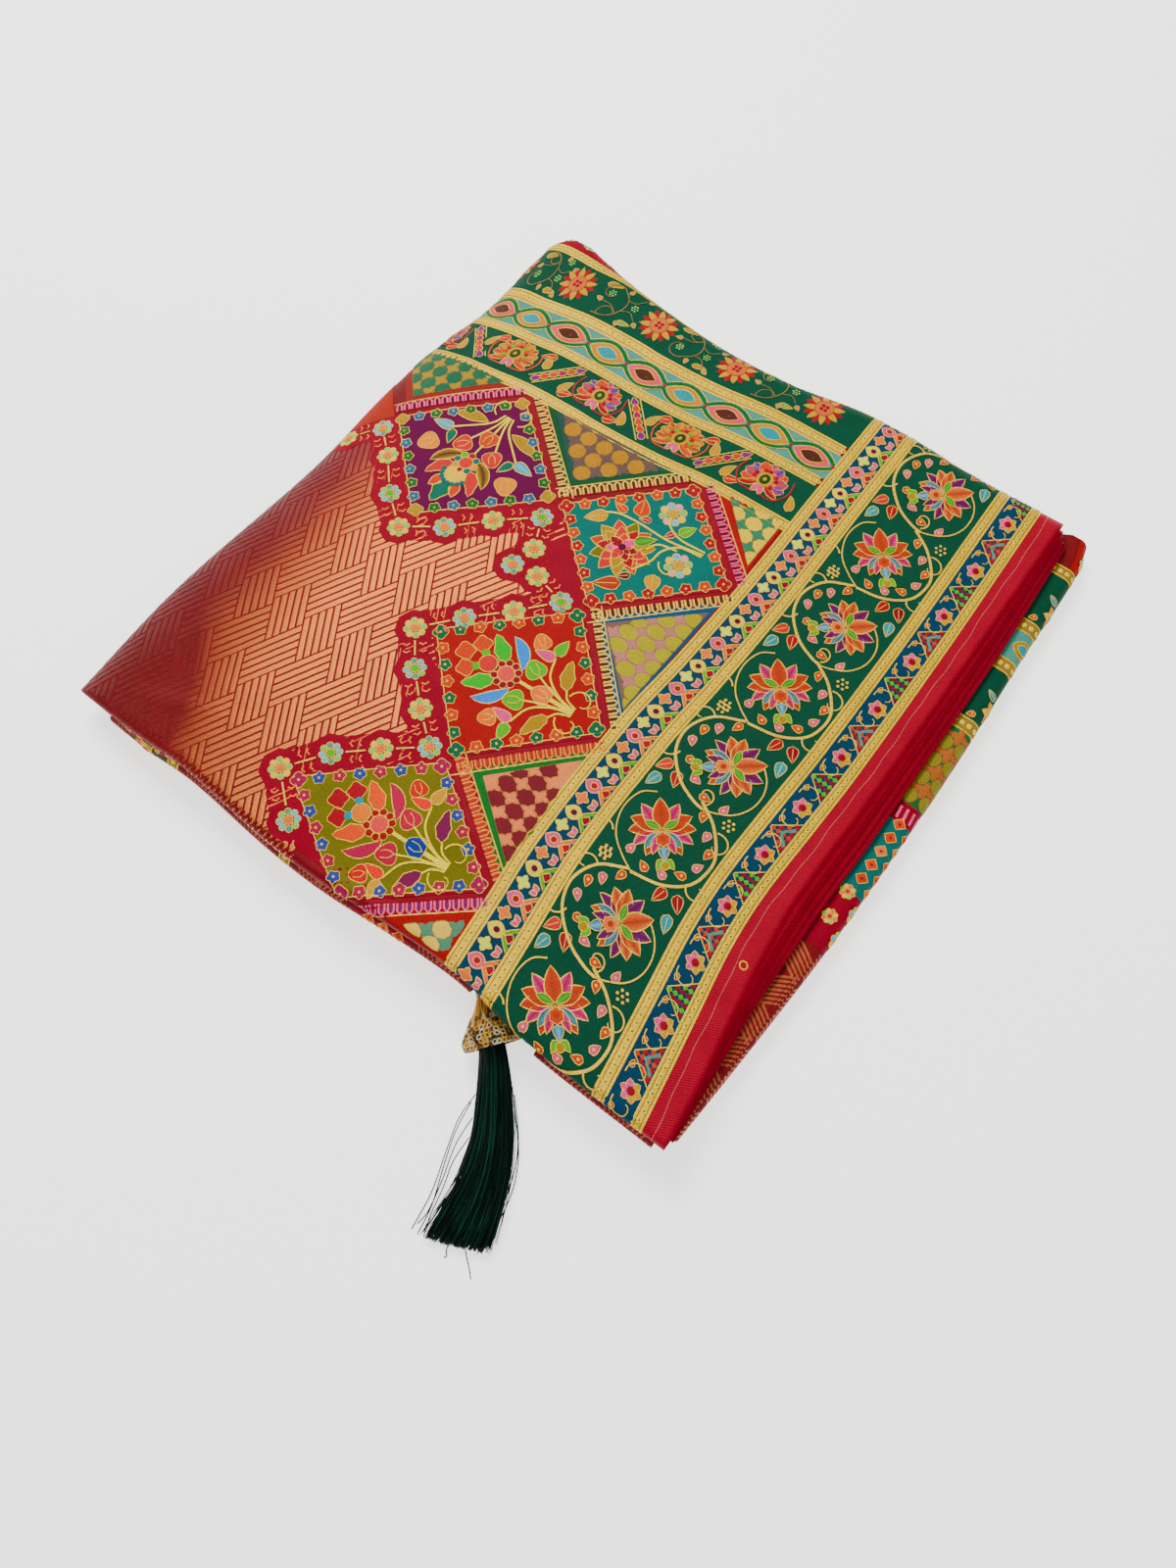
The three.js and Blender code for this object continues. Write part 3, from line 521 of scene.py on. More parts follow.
class Pen:
    """Draws motifs into a set of sheaves, through a local frame and the cloth's own skew."""

    def __init__(self, kit, warp=None, origin=(0.0, 0.0), turn=0.0, flip=1.0):
        self.kit, self.warp = kit, warp
        self.origin, self.turn, self.flip = np.array(origin, float), turn, flip

    def at(self, x, y, turn=0.0, flip=1.0):
        """A pen whose middle is at (x, y) of this one, turned by degrees anticlockwise."""
        origin = self.local([(x, y)])[0]
        turned = self.turn + self.flip * math.radians(turn)
        return Pen(self.kit, self.warp, origin, turned, self.flip * flip)

    def local(self, points):
        """Places on the cloth, or before its skew, of points in this pen's frame."""
        p = np.asarray(points, float) * np.array([1.0, self.flip])
        c, s = math.cos(self.turn), math.sin(self.turn)
        return np.stack([p[:, 0] * c - p[:, 1] * s, p[:, 0] * s + p[:, 1] * c], 1) + self.origin

    def mark(self, layer, points, lifts, faces, tint):
        """Adds one shape, with its faces turned round if the pen is mirrored."""
        places = self.local(points)
        if self.warp is not None:
            places = self.warp(places)
        if self.flip < 0:
            faces = [face[::-1] for face in faces]
        self.kit[layer].add(places, lifts, faces, tint)

    def line(self, path, width, tint, layer="thread", closed=False, crown=0.1, base=THREAD):
        """A ribbon of thread along a path; width may vary along it."""
        path = np.asarray(path, float)
        if closed:
            path = np.concatenate([path, path[:1]])
        before, after = np.roll(path, 1, 0), np.roll(path, -1, 0)
        before[0], after[-1] = (path[-2], path[1]) if closed else (path[0], path[-1])
        run = after - before
        run /= np.maximum(np.linalg.norm(run, axis=1, keepdims=True), 1e-9)
        half = np.broadcast_to(np.asarray(width) / 2, len(path))
        side = np.stack([-run[:, 1], run[:, 0]], 1) * half[:, None]
        points = np.stack([path + side, path, path - side], 1).reshape(-1, 2)
        edge = base - THREAD_SINK
        lifts = np.tile([edge, base + crown, edge], len(path))
        self.mark(layer, points, lifts, grid_faces(len(path), 3).tolist(), dye(tint))

    def disc(self, x, y, radius, tint, layer="fill", lobes=0, depth=0.16, around=12, tall=1.0,
             phase=0.0, base=None, rim=None, rim_width=0.34, puff=0.12, within=None):
        """A round or scalloped patch, with an optional outline, cut to a convex field."""
        angles = np.linspace(0, 2 * math.pi, around, endpoint=False)
        r = radius * (1 + depth * np.cos(lobes * (angles - phase)) if lobes else np.ones(around))
        ring = np.stack([x + r * np.cos(angles), y + r * tall * np.sin(angles)], 1)
        if within is not None:
            ring = cut_to(ring, np.array([x, y]), within)
        base = LAYER_BASE[layer] if base is None else base
        inner = np.array([x, y]) + (ring - [x, y]) * DISC_SHOULDER
        points = np.concatenate([ring, inner, [[x, y]]])
        k = np.arange(around)
        n = (k + 1) % around
        sides = np.stack([k, n, n + around, k + around], 1).tolist()
        tips = np.stack([k + around, n + around, np.full(around, 2 * around)], 1).tolist()
        lifts = np.concatenate([np.full(around, base), np.full(around + 1, base + puff)])
        self.mark(layer, points, lifts, sides + tips, dye(tint))
        if rim is not None:
            self.line(ring, rim_width, rim, closed=True, base=base + RIM_RISE)

    def petal(self, x, y, turn, length, width, tint, shape="petal", bend=0.0, rim=CREAM,
              rim_width=0.34, core=None, layer="fill", steps=8, vein=None, over=0.0):
        """A petal or leaf from its root, running at turn degrees; bend curves it sideways.

        Petals with a greater over lie on top of their neighbours.
        """
        t = np.linspace(0, 1, steps)
        heading = math.radians(turn) + math.radians(bend) * (t - 0.5)
        step = length / (steps - 1)
        run = np.stack([np.cos(heading), np.sin(heading)], 1)
        spine = np.concatenate([[[0, 0]], np.cumsum((run[1:] + run[:-1]) / 2 * step, 0)]) + [x, y]
        half = PROFILES[shape](t) * width / 2
        side = np.stack([-run[:, 1], run[:, 0]], 1) * half[:, None]
        left, right = spine + side, spine - side
        base = LAYER_BASE[layer] + over
        points = np.stack([left, spine, right], 1).reshape(-1, 2)
        lifts = np.tile([base, base + PETAL_CROWN, base], steps)
        outer, inner = dye(tint), dye(core if core is not None else tint)
        shade = np.tile(np.stack([outer, inner, outer]), (steps, 1))
        self.mark(layer, points, lifts, grid_faces(steps, 3).tolist(), shade)
        if rim is not None:
            edge = np.concatenate([left, right[::-1][1:-1]])
            self.line(edge, rim_width, rim, closed=True, crown=0.06, base=base + RIM_RISE)
        if vein is not None:
            self.line(spine[1:-1], VEIN_WIDTH, vein, base=base + VEIN_RISE)


def scallop(t, lobes):
    return 0.12 * np.abs(np.sin(lobes * math.pi * t))


PROFILES = {
    "petal": lambda t: np.sin(math.pi * t**0.8) ** 0.8 * (1 - 0.1 * t) + 0.02,
    "tear": lambda t: np.sin(math.pi * t**0.6) ** 0.9 + 0.02,
    "spear": lambda t: np.sin(math.pi * t) ** 0.9 + 0.02,
    "broad": lambda t: np.sqrt(np.clip(t * 1.6, 0, 1)) * np.sqrt(np.clip((1.02 - t) * 3.2, 0.01, 1))
    + scallop(t, 3) * (t < 0.98),
    "feather": lambda t: np.sin(math.pi * t**0.7) ** 0.7 * (1 + 0.14 * np.cos(t * 30)) + 0.02,
}


def kit_for(zone, lay):
    """The sheaves of one zone of the cloth: grounds, fills, details and gold threads."""
    return {
        "ground": Sheaf(zone + "_grounds", lay, SATIN, "fold_cloth"),
        "fill": Sheaf(zone + "_fills", lay, RESHAM, "fold_cloth"),
        "detail": Sheaf(zone + "_details", lay, RESHAM, "fold_cloth"),
        "thread": Sheaf(zone + "_threads", lay, ZARI, "top_cloth"),
    }


def crossed(a, b):
    """The cross product of two plan directions."""
    return a[0] * b[1] - a[1] * b[0]


def build_kit(kit):
    for sheaf in kit.values():
        if sheaf.count:
            sheaf.build()


def patch(pen, corner_grid, tint, layer="ground", base=GROUND):
    """A ground given as a grid of places, rows by columns."""
    rows, columns = corner_grid.shape[:2]
    places = corner_grid.reshape(-1, 2)
    faces = grid_faces(rows, columns)
    a, b, d = corner_grid[0, 0], corner_grid[0, -1], corner_grid[-1, 0]
    if crossed(b - a, d - a) <= 0:
        faces = faces[:, ::-1]
    pen.mark(layer, places, np.full(len(places), base), faces.tolist(), dye(tint))


def bilinear(corners, rows, columns):
    """A grid over a four-cornered field: corners run round it."""
    a, b, c, d = (np.array(p, float) for p in corners)
    s, t = np.meshgrid(np.linspace(0, 1, rows), np.linspace(0, 1, columns), indexing="ij")
    s, t = s[..., None], t[..., None]
    return a * (1 - s) * (1 - t) + b * (1 - s) * t + c * s * t + d * s * (1 - t)


# ---------------------------------------------------------------- motifs


def curl(pen, x, y, turn, size, tint=CREAM, width=0.7, hand=1):
    """A small spiral tendril that starts at (x, y)."""
    t = np.linspace(0, 1, 14)
    angle = math.radians(turn) + hand * t * 4.6
    step = size * (1 - 0.72 * t) * 0.36
    moves = np.stack([np.cos(angle), np.sin(angle)], 1) * step[:, None]
    path = np.concatenate([[[0, 0]], np.cumsum(moves, 0)]) + [x, y]
    pen.line(path, np.linspace(width, width * 0.6, len(path)), tint)


def on_ring(x, y, radius, angle):
    """A place at a distance from (x, y), in the direction of an angle in radians."""
    return x + radius * math.cos(angle), y + radius * math.sin(angle)


def ring_of(count):
    """Evenly spread angles round a full turn."""
    return [2 * math.pi * k / count for k in range(count)]


def dots(pen, x, y, radius=2.1, size=0.65, tint=CREAM):
    """Six dots round a seventh."""
    spots = [(x, y)] + [on_ring(x, y, radius, angle) for angle in ring_of(6)]
    for spot in spots:
        pen.disc(*spot, size, tint, "thread", around=6, puff=0.08)


def rosette(pen, x, y, palette, heart, radius):
    """A ring of eight round petals about a disc."""
    for k, angle in enumerate(ring_of(8)):
        spot, tint = on_ring(x, y, radius * 0.66, angle), palette[k % len(palette)]
        pen.disc(*spot, radius * 0.27, tint, around=8, rim=CREAM, rim_width=0.32)
    pen.disc(x, y, radius * 0.34, heart, "detail", around=10, rim=CREAM, rim_width=0.32)


def seed(pen, x, y, turn, tint, core, length, width):
    """A drop-shaped bud with a gold edge and a bright heart."""
    back = math.radians(turn) + math.pi
    root = on_ring(x, y, length / 2, back)
    pen.petal(*root, turn, length, width, tint, "tear", rim_width=0.36, steps=7)
    pen.disc(*on_ring(x, y, 0.5, back), width * 0.2, core, "detail", around=6)


def leaf(pen, x, y, turn, tint, length, width, bend=0.0, core=None, vein=CREAM):
    """A leaf given by its middle, with a vein."""
    root = on_ring(x, y, length / 2, math.radians(turn) + math.pi)
    pen.petal(*root, turn, length, width, tint, "tear", bend=bend, core=core, vein=vein)


def smooth_path(points, steps=10):
    """A curve through points, as many short steps."""
    p = np.asarray(points, float)
    ends = np.concatenate([[2 * p[0] - p[1]], p, [2 * p[-1] - p[-2]]])
    out = []
    for k in range(1, len(ends) - 2):
        a, b, c, d = ends[k - 1], ends[k], ends[k + 1], ends[k + 2]
        out.append(through(a, b, c, d, np.linspace(0, 1, steps, endpoint=False)[:, None]))
    return np.concatenate([*out, p[-1:]])


# Petals of the large flower on each side of its axis: direction, length, width, tone, bend.
LOTUS_FAN = [
    (150, 12.6, 5.4, "side", 12), (122, 12.8, 5.2, "wing", 24), (94, 12.2, 6.4, "side", 10),
    (68, 11.8, 6.4, "side", -4), (34, 11.6, 5.8, "wing", -12),
]
LOTUS_HEART = [
    (136, 9.4, 3.2, "blue", 22), (158, 9.6, 3.4, "wing", 10),
]


def lotus(pen, side, wing, deep):
    """A large open flower that faces up its own frame, about 26 mm across."""
    tones = {"side": (side, RUST), "wing": (wing, deep), "blue": (BLUE, SKY)}
    for hand in (1, -1):
        half = pen.at(0, 0, flip=hand)
        for k, (turn, length, width, tone, bend) in enumerate(LOTUS_FAN):
            tint, core = tones[tone]
            half.petal(1.2, 0.6, turn, length, width, tint, bend=bend, core=core, rim_width=0.46,
                       over=0.04 * k)
    pen.petal(0.8, 0, 0, 12.4, 6.8, side, core=RUST, rim_width=0.46, over=0.26)
    for hand in (1, -1):
        half = pen.at(0, 0, flip=hand)
        for k, (turn, length, width, tone, bend) in enumerate(LOTUS_HEART):
            tint, core = tones[tone]
            half.petal(-0.6, 0.8, turn, length, width, tint, "spear", bend=bend, core=core,
                       rim_width=0.4, over=0.3 + 0.03 * k)
        half.petal(0.6, 0.4, 62, 7.0, 2.9, GRASS, "spear", core=LIME, over=0.42)
        half.petal(-11.4, 0.8, 148, 5.0, 3.0, LIME, "tear", over=0.3, steps=6)
    pen.disc(-3.6, 0, 2.7, side, lobes=6, depth=0.14, around=18, rim=CREAM, base=FILL + 0.42,
             puff=0.14)
    pen.disc(-3.4, 0, 1.2, RUST, "detail", around=8, base=FILL + 0.56, puff=0.06)
    pen.petal(-6.6, 0, 180, 5.4, 4.0, BLUE, "tear", core=PALE_BLUE, over=0.42)
    pen.disc(-13.8, 0, 1.8, MUSTARD, around=8, rim=CREAM, base=FILL + 0.3)


BEAD_PITCH = 3.3  # along a zari ribbon


def gold_band(pen, path_of, width, length_from, length_to):
    """A zari ribbon with beaded rings: path_of(along, across) gives its places."""
    stations = np.arange(length_from, length_to + 1e-6, 2.2)
    offsets = np.linspace(-width / 2, width / 2, 4)
    grid = np.stack([np.stack([path_of(s, o) for o in offsets]) for s in stations])
    patch(pen, grid, GOLD, layer="thread", base=GROUND + 0.04)
    for side in (-1, 1):
        for inset, thick, tint in ((0.3, 0.5, PALE_GOLD), (1.15, 0.3, DARK_GOLD)):
            edge = np.stack([path_of(s, side * (width / 2 - inset)) for s in stations])
            pen.line(edge, thick, tint, base=GROUND + 0.1, crown=0.08)
    for s in np.arange(length_from + 1.2, length_to - 1, BEAD_PITCH):
        x, y = path_of(s, 0)
        pen.disc(x, y, 1.15, PALE_GOLD, "thread", around=8, base=GROUND + 0.1, puff=0.16)
        pen.disc(x, y, 0.42, DARK_GOLD, "thread", around=6, base=GROUND + 0.3, puff=0.04)


# ---------------------------------------------------------------- the long border

# Where the border's left edge and its gold edge lie along the bundle, as x at y.
BORDER_LEFT = [(-172, 40.5), (-152, 39), (-125, 36.5), (-95, 33.6), (-35, 33), (0, 35.5),
               (50, 37.2), (100, 36.6), (150, 36.2), (175, 36.2)]
BORDER_RIGHT = [(-172, 50), (-157, 47.6), (-137, 44.5), (-112, 40.5), (-87, 36.6), (-62, 35.1),
                (-25, 36.5), (0, 37.4), (75, 37.5), (157, 36), (175, 36)]
BORDER_GOLD_AT = 84.5
LIP_END, SPINE_END = -159.5, 171.0
LIP_BEND, SPINE_BEND = -146.0, 146.0
LIP_PITCH, FLAT_PITCH, SPINE_PITCH = 0.5, 2.4, 0.8  # of the rows of a ground
LOTUS_SPOTS = [(133, "B"), (92, "A"), (52.5, "B"), (12.5, "A"), (-27, "B"), (-65, "A"), (-104, "B"),
               (-142, "A"), (171, "A")]
# Across the border: grounds as from, to, columns and colour; ribbons as middle and width.
BORDER_GROUNDS = [(4.8, 16.8, 6, NAVY), (21.8, 64.8, 18, DEEP_GREEN), (69.2, 80.3, 6, NAVY)]
BORDER_RIBBONS = [(2.6, 5.2), (19.3, 5.4), (67.0, 5.2), (82.2, 4.6)]


def border_warp(places):
    q, y = places[:, 0], places[:, 1]
    left, right = along(BORDER_LEFT, y), along(BORDER_RIGHT, y)
    return np.stack([q + lerp(left, right, q / BORDER_GOLD_AT), y], 1)


def strip_grid(q0, q1, columns):
    """A ground along the whole border, with closer rows where the cloth bends at its ends."""
    lip = np.arange(LIP_END, LIP_BEND, LIP_PITCH)
    flat = np.arange(LIP_BEND, SPINE_BEND, FLAT_PITCH)
    spine = np.arange(SPINE_BEND, SPINE_END, SPINE_PITCH)
    rows = np.concatenate([lip, flat, spine, [SPINE_END]])
    return np.stack(np.meshgrid(np.linspace(q0, q1, columns), rows), -1)


def draw_border_grounds(pen):
    for start, end, columns, tint in BORDER_GROUNDS:
        patch(pen, strip_grid(start, end, columns), tint)
    for middle, width in BORDER_RIBBONS:
        gold_band(pen, lambda s, o, m=middle: np.array([m + o, s]), width, LIP_END, SPINE_END)


def medallion(pen, y, ring, heart, chevron, chevron_core):
    """A pointed eye with a chevron behind it, across the blue band."""
    pen.petal(5.6, y, 0, 7.6, 5.8, ring, "spear", rim_width=0.36)
    pen.disc(9.5, y, 1.45, heart, "detail", around=8, tall=0.95, rim=CREAM, rim_width=0.4)
    for hand in (1, -1):
        arm = [(16.2, y + hand * 4.2), (14.2, y + hand * 2.0), (12.4, y)]
        pen.line(arm, 1.5, chevron, layer="fill", base=FILL)
        edge = [(16.4, y + hand * 5.1), (14.0, y + hand * 2.9), (11.8, y + hand * 0.6)]
        pen.line(edge, 0.4, CREAM)
    pen.petal(16.4, y, 180, 3.2, 3.6, chevron_core, "tear", rim_width=0.35, steps=6)


def star_and_heart(pen, y, tint):
    pen.disc(8.6, y, 2.3, tint, lobes=4, depth=0.3, around=16, rim=CREAM, rim_width=0.4)
    for hand in (1, -1):
        pen.petal(14.9, y, 180 - hand * 38, 3.2, 2.3, PINK, "tear", rim_width=0.4, steps=6)


MEDALLION_FROM, MEDALLION_PITCH = 148.5, 13.35  # along the blue band


def draw_blue_band(pen):
    for k in range(-24, 3):
        y = MEDALLION_FROM + k * MEDALLION_PITCH
        if y < LIP_END + 3 or y > SPINE_END - 3:
            continue
        if k % 2 == 0:
            medallion(pen, y, PINK, RED, PEACH, RED)
            star_and_heart(pen, y - MEDALLION_PITCH / 2, PEACH)
        else:
            medallion(pen, y, (226, 214, 130), PLUM, LIME, CRIMSON)
            star_and_heart(pen, y - MEDALLION_PITCH / 2, (222, 222, 165))


# Stems, seeds (place, turn, tone) and leaves round the two kinds of large flower.
VINE_B = [(-6, 20), (-16, 14.5), (-20.8, 6), (-20.8, -2), (-17.5, -9), (-10, -16), (-2, -19.5),
          (3, -20.4)]
VINE_A = [(3, 20.2), (12, 14.5), (19.5, 5), (20.5, -3), (17.5, -11), (9, -17), (-3, -19.6)]
THIN_B = [(10, 9), (15, 4), (17.4, -2), (17, -9), (13.5, -15), (8, -18.6), (3, -20.4)]
THIN_A = [(-12.5, 13), (-17, 9.5), (-19, 3), (-18.4, -4), (-15, -11), (-9, -16), (-3, -19.4)]
SEEDS_B = [(-7, 16, 250, "o"), (-16, 7, 280, "o"), (-12, -6.5, 350, "o"), (1, -16, 0, "o"),
           (-12, 11, 290, "p"), (-16.6, 0.5, 300, "p"), (-6, -12, 350, "p"), (9.5, -15.5, 80, "p")]
SEEDS_A = [(7, 15, 290, "o"), (17, 3.5, 260, "o"), (13, -9.5, 190, "o"), (0, -14.8, 150, "o"),
           (12.6, 9, 270, "p"), (16.8, -3, 60, "p"), (7, -13.4, 160, "p"), (-7.6, -11.6, 80, "p")]
LEAVES_B = [(8.5, 18.5, 250, RED), (16, 19.5, 300, CRIMSON), (16, 11, 285, CYAN)]
LEAVES_A = [(-17, 24, 230, CORAL), (-10, 21.5, 290, RED), (-17, 16.5, 250, CYAN)]


def draw_lotus_band(pen):
    for y, kind in LOTUS_SPOTS:
        spot = pen.at(44.2 if kind == "B" else 42.2, y)
        vine, thin = (VINE_B, THIN_B) if kind == "B" else (VINE_A, THIN_A)
        seeds, leaves = (SEEDS_B, LEAVES_B) if kind == "B" else (SEEDS_A, LEAVES_A)
        spot.line(smooth_path(vine, 6), 1.15, CREAM, crown=0.14)
        spot.line(smooth_path(thin, 5), 0.6, CREAM)
        for x, dy, turn, tone in seeds:
            tint = ORANGE if tone == "o" else PINK
            seed(spot, x, dy, turn, tint, CREAM, 4.8, 3.2)
        for x, dy, turn, tint in leaves:
            leaf(spot, x, dy, turn, tint, 7.2, 4.4)
        if kind == "B":
            lotus(spot.at(1.5, 1.0, turn=40), PEACH, VIOLET, PURPLE)
            curl(spot, -17.5, -6, 250, 5.2, hand=-1)
            curl(spot, 2, -19, 40, 4.0)
            curl(spot, -16, 14, 130, 4.4)
            dots(spot, -16.4, 19.5)
        else:
            lotus(spot.at(-2.0, 1.0, turn=128), ORANGE, PINK, MAGENTA)
            curl(spot, 15, 13, 10, 5.2, hand=-1)
            curl(spot, -17, -10, 130, 4.6)
            curl(spot, 17, -12, -60, 4.4)
            dots(spot, 16.5, 18)
            dots(spot, -14.5, -18.5)


def toothed_fan(pen, y, first, second, chevron):
    """Rows of small teeth that widen to the gold edge, between the little flowers."""
    for row in range(4):
        x = 71.8 + row * 2.3
        teeth = row * 2 + 1
        for k in range(teeth):
            dy = (k - (teeth - 1) / 2) * 1.9
            tint = first if (k + row) % 2 == 0 else second
            pen.disc(x, y + dy, 1.0, tint, lobes=4, around=8)
    if chevron:
        bars = [(79, y + 4.2), (75, y + 0.2), (79, y - 3.8)]
        pen.line(bars, 1.3, SKY, layer="detail", base=DETAIL)
    pen.line([(80, y + 8), (70.8, y + 0.4), (70.8, y - 0.4), (80, y - 8)], 0.4, CREAM)


NARROW_FLOWERS = [163.5, 137.5, 110.5, 83.5, 57, 30, 3.5, -23.5, -48, -73.5, -98, -123.5, -149]
NARROW_MIDDLE = 75.6


def draw_narrow_band(pen):
    for k, y in enumerate(NARROW_FLOWERS):
        for j in range(6):
            tint = YELLOW if j in (0, 1, 5) else PINK
            pen.petal(NARROW_MIDDLE, y, 60 * j, 4.1, 3.4, tint, rim_width=0.3, steps=6)
        pen.disc(NARROW_MIDDLE, y, 1.5, CRIMSON, "detail", around=8)
        for hand in (1, -1):
            curl(pen, 71, y + hand * 4.5, 90 * hand, 4.4, width=0.5, hand=-hand)
            seed(pen, 72.0, y + hand * 8.2, 90 * hand, RED, CREAM, 2.8, 1.9)
        between = y - 13.4
        if between > LIP_END + 4:
            kinds = (LIME, CRIMSON, False) if k % 2 == 0 else (ORANGE, RED, True)
            toothed_fan(pen, between, *kinds)


STITCH_AT, GOLD_RING_AT = 88.3, (91, -88)  # on the red selvedge


def draw_border(kit):
    pen = Pen(kit, border_warp)
    draw_border_grounds(pen)
    draw_blue_band(pen)
    draw_lotus_band(pen)
    draw_narrow_band(pen)
    rows = np.arange(LIP_END, SPINE_END, 1.6)
    waver = 0.25 * np.sin(rows / 9) + 0.2 * np.sin(rows / 3.1)
    stitch = np.stack([STITCH_AT + waver, rows], 1)
    pen.line(stitch, 0.3, (206, 128, 112), base=0.05)
    ring = [on_ring(*GOLD_RING_AT, 1.5, angle) for angle in ring_of(10)]
    pen.line(ring, 0.5, GOLD, closed=True, base=0.1)


# ---------------------------------------------------------------- the bands across the end piece

# How far the bands lean lengthwise, by x.
CROSS_SKEW = [(-176, -4.4), (-150, -4.2), (-119, -3), (-98, -0.6), (-72, 0), (-60, -0.3),
              (-30, 1.3), (-3, 5), (20, 6.2), (42, 7)]
CROSS_LEFT = -174.0


def cross_warp(places):
    x, r = places[:, 0], places[:, 1]
    return np.stack([x, r + along(CROSS_SKEW, x)], 1)


def cross_right(r):
    """The bands stop at the long border's left edge."""
    return float(along(BORDER_LEFT, r + 7)) + 0.6


def cross_ground(pen, r0, r1, rows, tint):
    columns = np.linspace(CROSS_LEFT, cross_right((r0 + r1) / 2), 84)
    patch(pen, np.stack(np.meshgrid(columns, np.linspace(r0, r1, rows)), -1), tint)


def sunflower(pen, x, r):
    """Narrow rays, red and yellow by turns, round a dotted disc."""
    for k in range(16):
        odd = k % 2
        tint = YELLOW if odd else RED
        pen.petal(x, r, 22.5 * k, 9.4, 3.3, tint, "feather", rim=None, steps=7, over=0.05 * odd)
    pen.disc(x, r, 4.3, (214, 140, 80), "detail", around=16, rim=DARK_GOLD, rim_width=0.4)
    for turn in range(45, 405, 90):
        heart = pen.at(x, r, turn=turn)
        heart.disc(1.4, 0, 0.95, CRIMSON, around=7, base=DETAIL + 0.12)


VINE_BROWN = (160, 128, 62)
SPRAY_STEM = [(-8.5, -9.8), (-2, -8.6), (2.6, -3), (2.4, 3.4), (-3.4, 8.6)]
SPRAY_TWIGS = [
    [(2.6, -3), (7, -1.6), (10.8, -4.4)], [(2.4, 3.4), (6.4, 4.2), (9.6, 8)],
    [(1, -5.4), (-3, -2.6), (-8, -2)],
]
# Root and direction of each leaf.
SPRAY_LEAVES = [(11.4, -5, -40), (10.2, 8.6, 30), (-8.4, -2, 160), (0.6, 6.8, 80), (4.6, -8, -70)]


def spray(pen, x, r, hand):
    """Leafy tendrils that fill the field between two sunflowers."""
    half = pen.at(x, r, flip=hand)
    half.line(smooth_path(SPRAY_STEM, 6), 0.6, VINE_BROWN)
    for twig in SPRAY_TWIGS:
        half.line(smooth_path(twig, 5), 0.4, VINE_BROWN)
    curl(half, -3.4, 8.6, 170, 5.4, VINE_BROWN, width=0.5)
    curl(half, -6.4, -9.4, 100, 4.6, VINE_BROWN, width=0.5, hand=-1)
    for lx, ly, turn in SPRAY_LEAVES:
        half.petal(lx, ly, turn, 3.4, 2.2, PEACH, "tear", rim=PALE_GREEN, rim_width=0.3, steps=6)
    for dx, dy in ((7.4, 1.4), (-6.4, 3.2), (7.6, -8.2)):
        dots(half, dx, dy, radius=1.4, size=0.5, tint=PALE_GREEN)


def draw_sunflower_band(pen):
    cross_ground(pen, 123.4, 146.6, 9, DEEP_GREEN)
    for x in (-160, -118.5, -72.5, -29, 15.5):
        sunflower(pen, x, 136.0)
    for k, x in enumerate((-137.5, -94.5, -51, -7)):
        spray(pen, x, 135.4, 1 if k % 2 else -1)
        leaf(pen, x - 8, 143.2, 8, MUSTARD, 8, 3.0, vein=None)
        leaf(pen, x + 8, 127.4, 8, MUSTARD, 7, 2.8, vein=None)


EYES_FROM, EYE_PITCH, EYES_MIDDLE = -124.6, 21.4, 111.3


def draw_eye_chain(pen):
    cross_ground(pen, 104.2, 118.4, 6, SKY)
    x = np.arange(CROSS_LEFT, 37, 1.4)
    bow = 4.9 * np.abs(np.cos((x - EYES_FROM) / EYE_PITCH * math.pi)) ** 0.8
    for hand in (1, -1):
        wave = EYES_MIDDLE + hand * (0.7 + bow)
        pen.line(np.stack([x, wave], 1), 1.5, GRASS, layer="fill", base=FILL)
        edge = EYES_MIDDLE + hand * (1.9 + bow)
        pen.line(np.stack([x, edge], 1), 0.35, CREAM)
    for k in range(-1, 8):
        eye = pen.at(EYES_FROM + EYE_PITCH * k, EYES_MIDDLE)
        ring, heart = ((206, 160, 60), CYAN) if k % 2 == 0 else ((230, 128, 130), BROWN)
        eye.petal(-9.4, 0, 0, 18.8, 9.4, ring, "spear", rim_width=0.36, steps=11)
        eye.petal(-5.8, 0, 0, 11.6, 5.8, heart, "spear", layer="detail", rim_width=0.4, steps=9)
        seed(eye, 1.6, 0, 60, (226, 200, 140), DARK_GOLD, 3.0, 2.4)
        eye.disc(10.7, 0, 0.9, RED, "thread", around=8)


def band_flower(pen, x, r, outer, inner):
    """A full flower seen from the side: a fan of petals over a ring and a green heart."""
    flower = pen.at(x, r)
    for hand in (1, -1):
        stem = [(hand * 2, -9.4), (hand * 9, -8.6), (hand * 12.6, -2), (hand * 11.6, 5)]
        flower.line(smooth_path(stem, 6), 0.7, inner[0])
        flower.petal(hand * 1.5, -3, 90 - hand * 118, 9.6, 3.2, inner[0], "spear", bend=hand * 30)
        flower.petal(0, -4, 270 + hand * 22, 6.0, 3.2, PINK, steps=6)
    for k in range(9):
        flower.petal(0, -1.4, -10 + 25 * k, 10.6, 5.4, outer[k % len(outer)], "broad",
                     core=outer[(k + 1) % len(outer)], rim_width=0.3, over=0.03 * (k % 2))
    for k in range(11):
        spot = on_ring(0, -0.8, 5.0, math.radians(-30 + 24 * k))
        flower.disc(*spot, 1.1, inner[k % len(inner)], "detail", around=7)
    flower.disc(0, -0.8, 3.7, YELLOW, "detail", around=12, tall=1.15)
    flower.disc(0, -0.8, 2.4, (30, 84, 24), around=10, tall=1.25, base=DETAIL + 0.14)
    flower.disc(0, -0.8, 0.9, YELLOW, around=6, tall=1.3, base=DETAIL + 0.28)


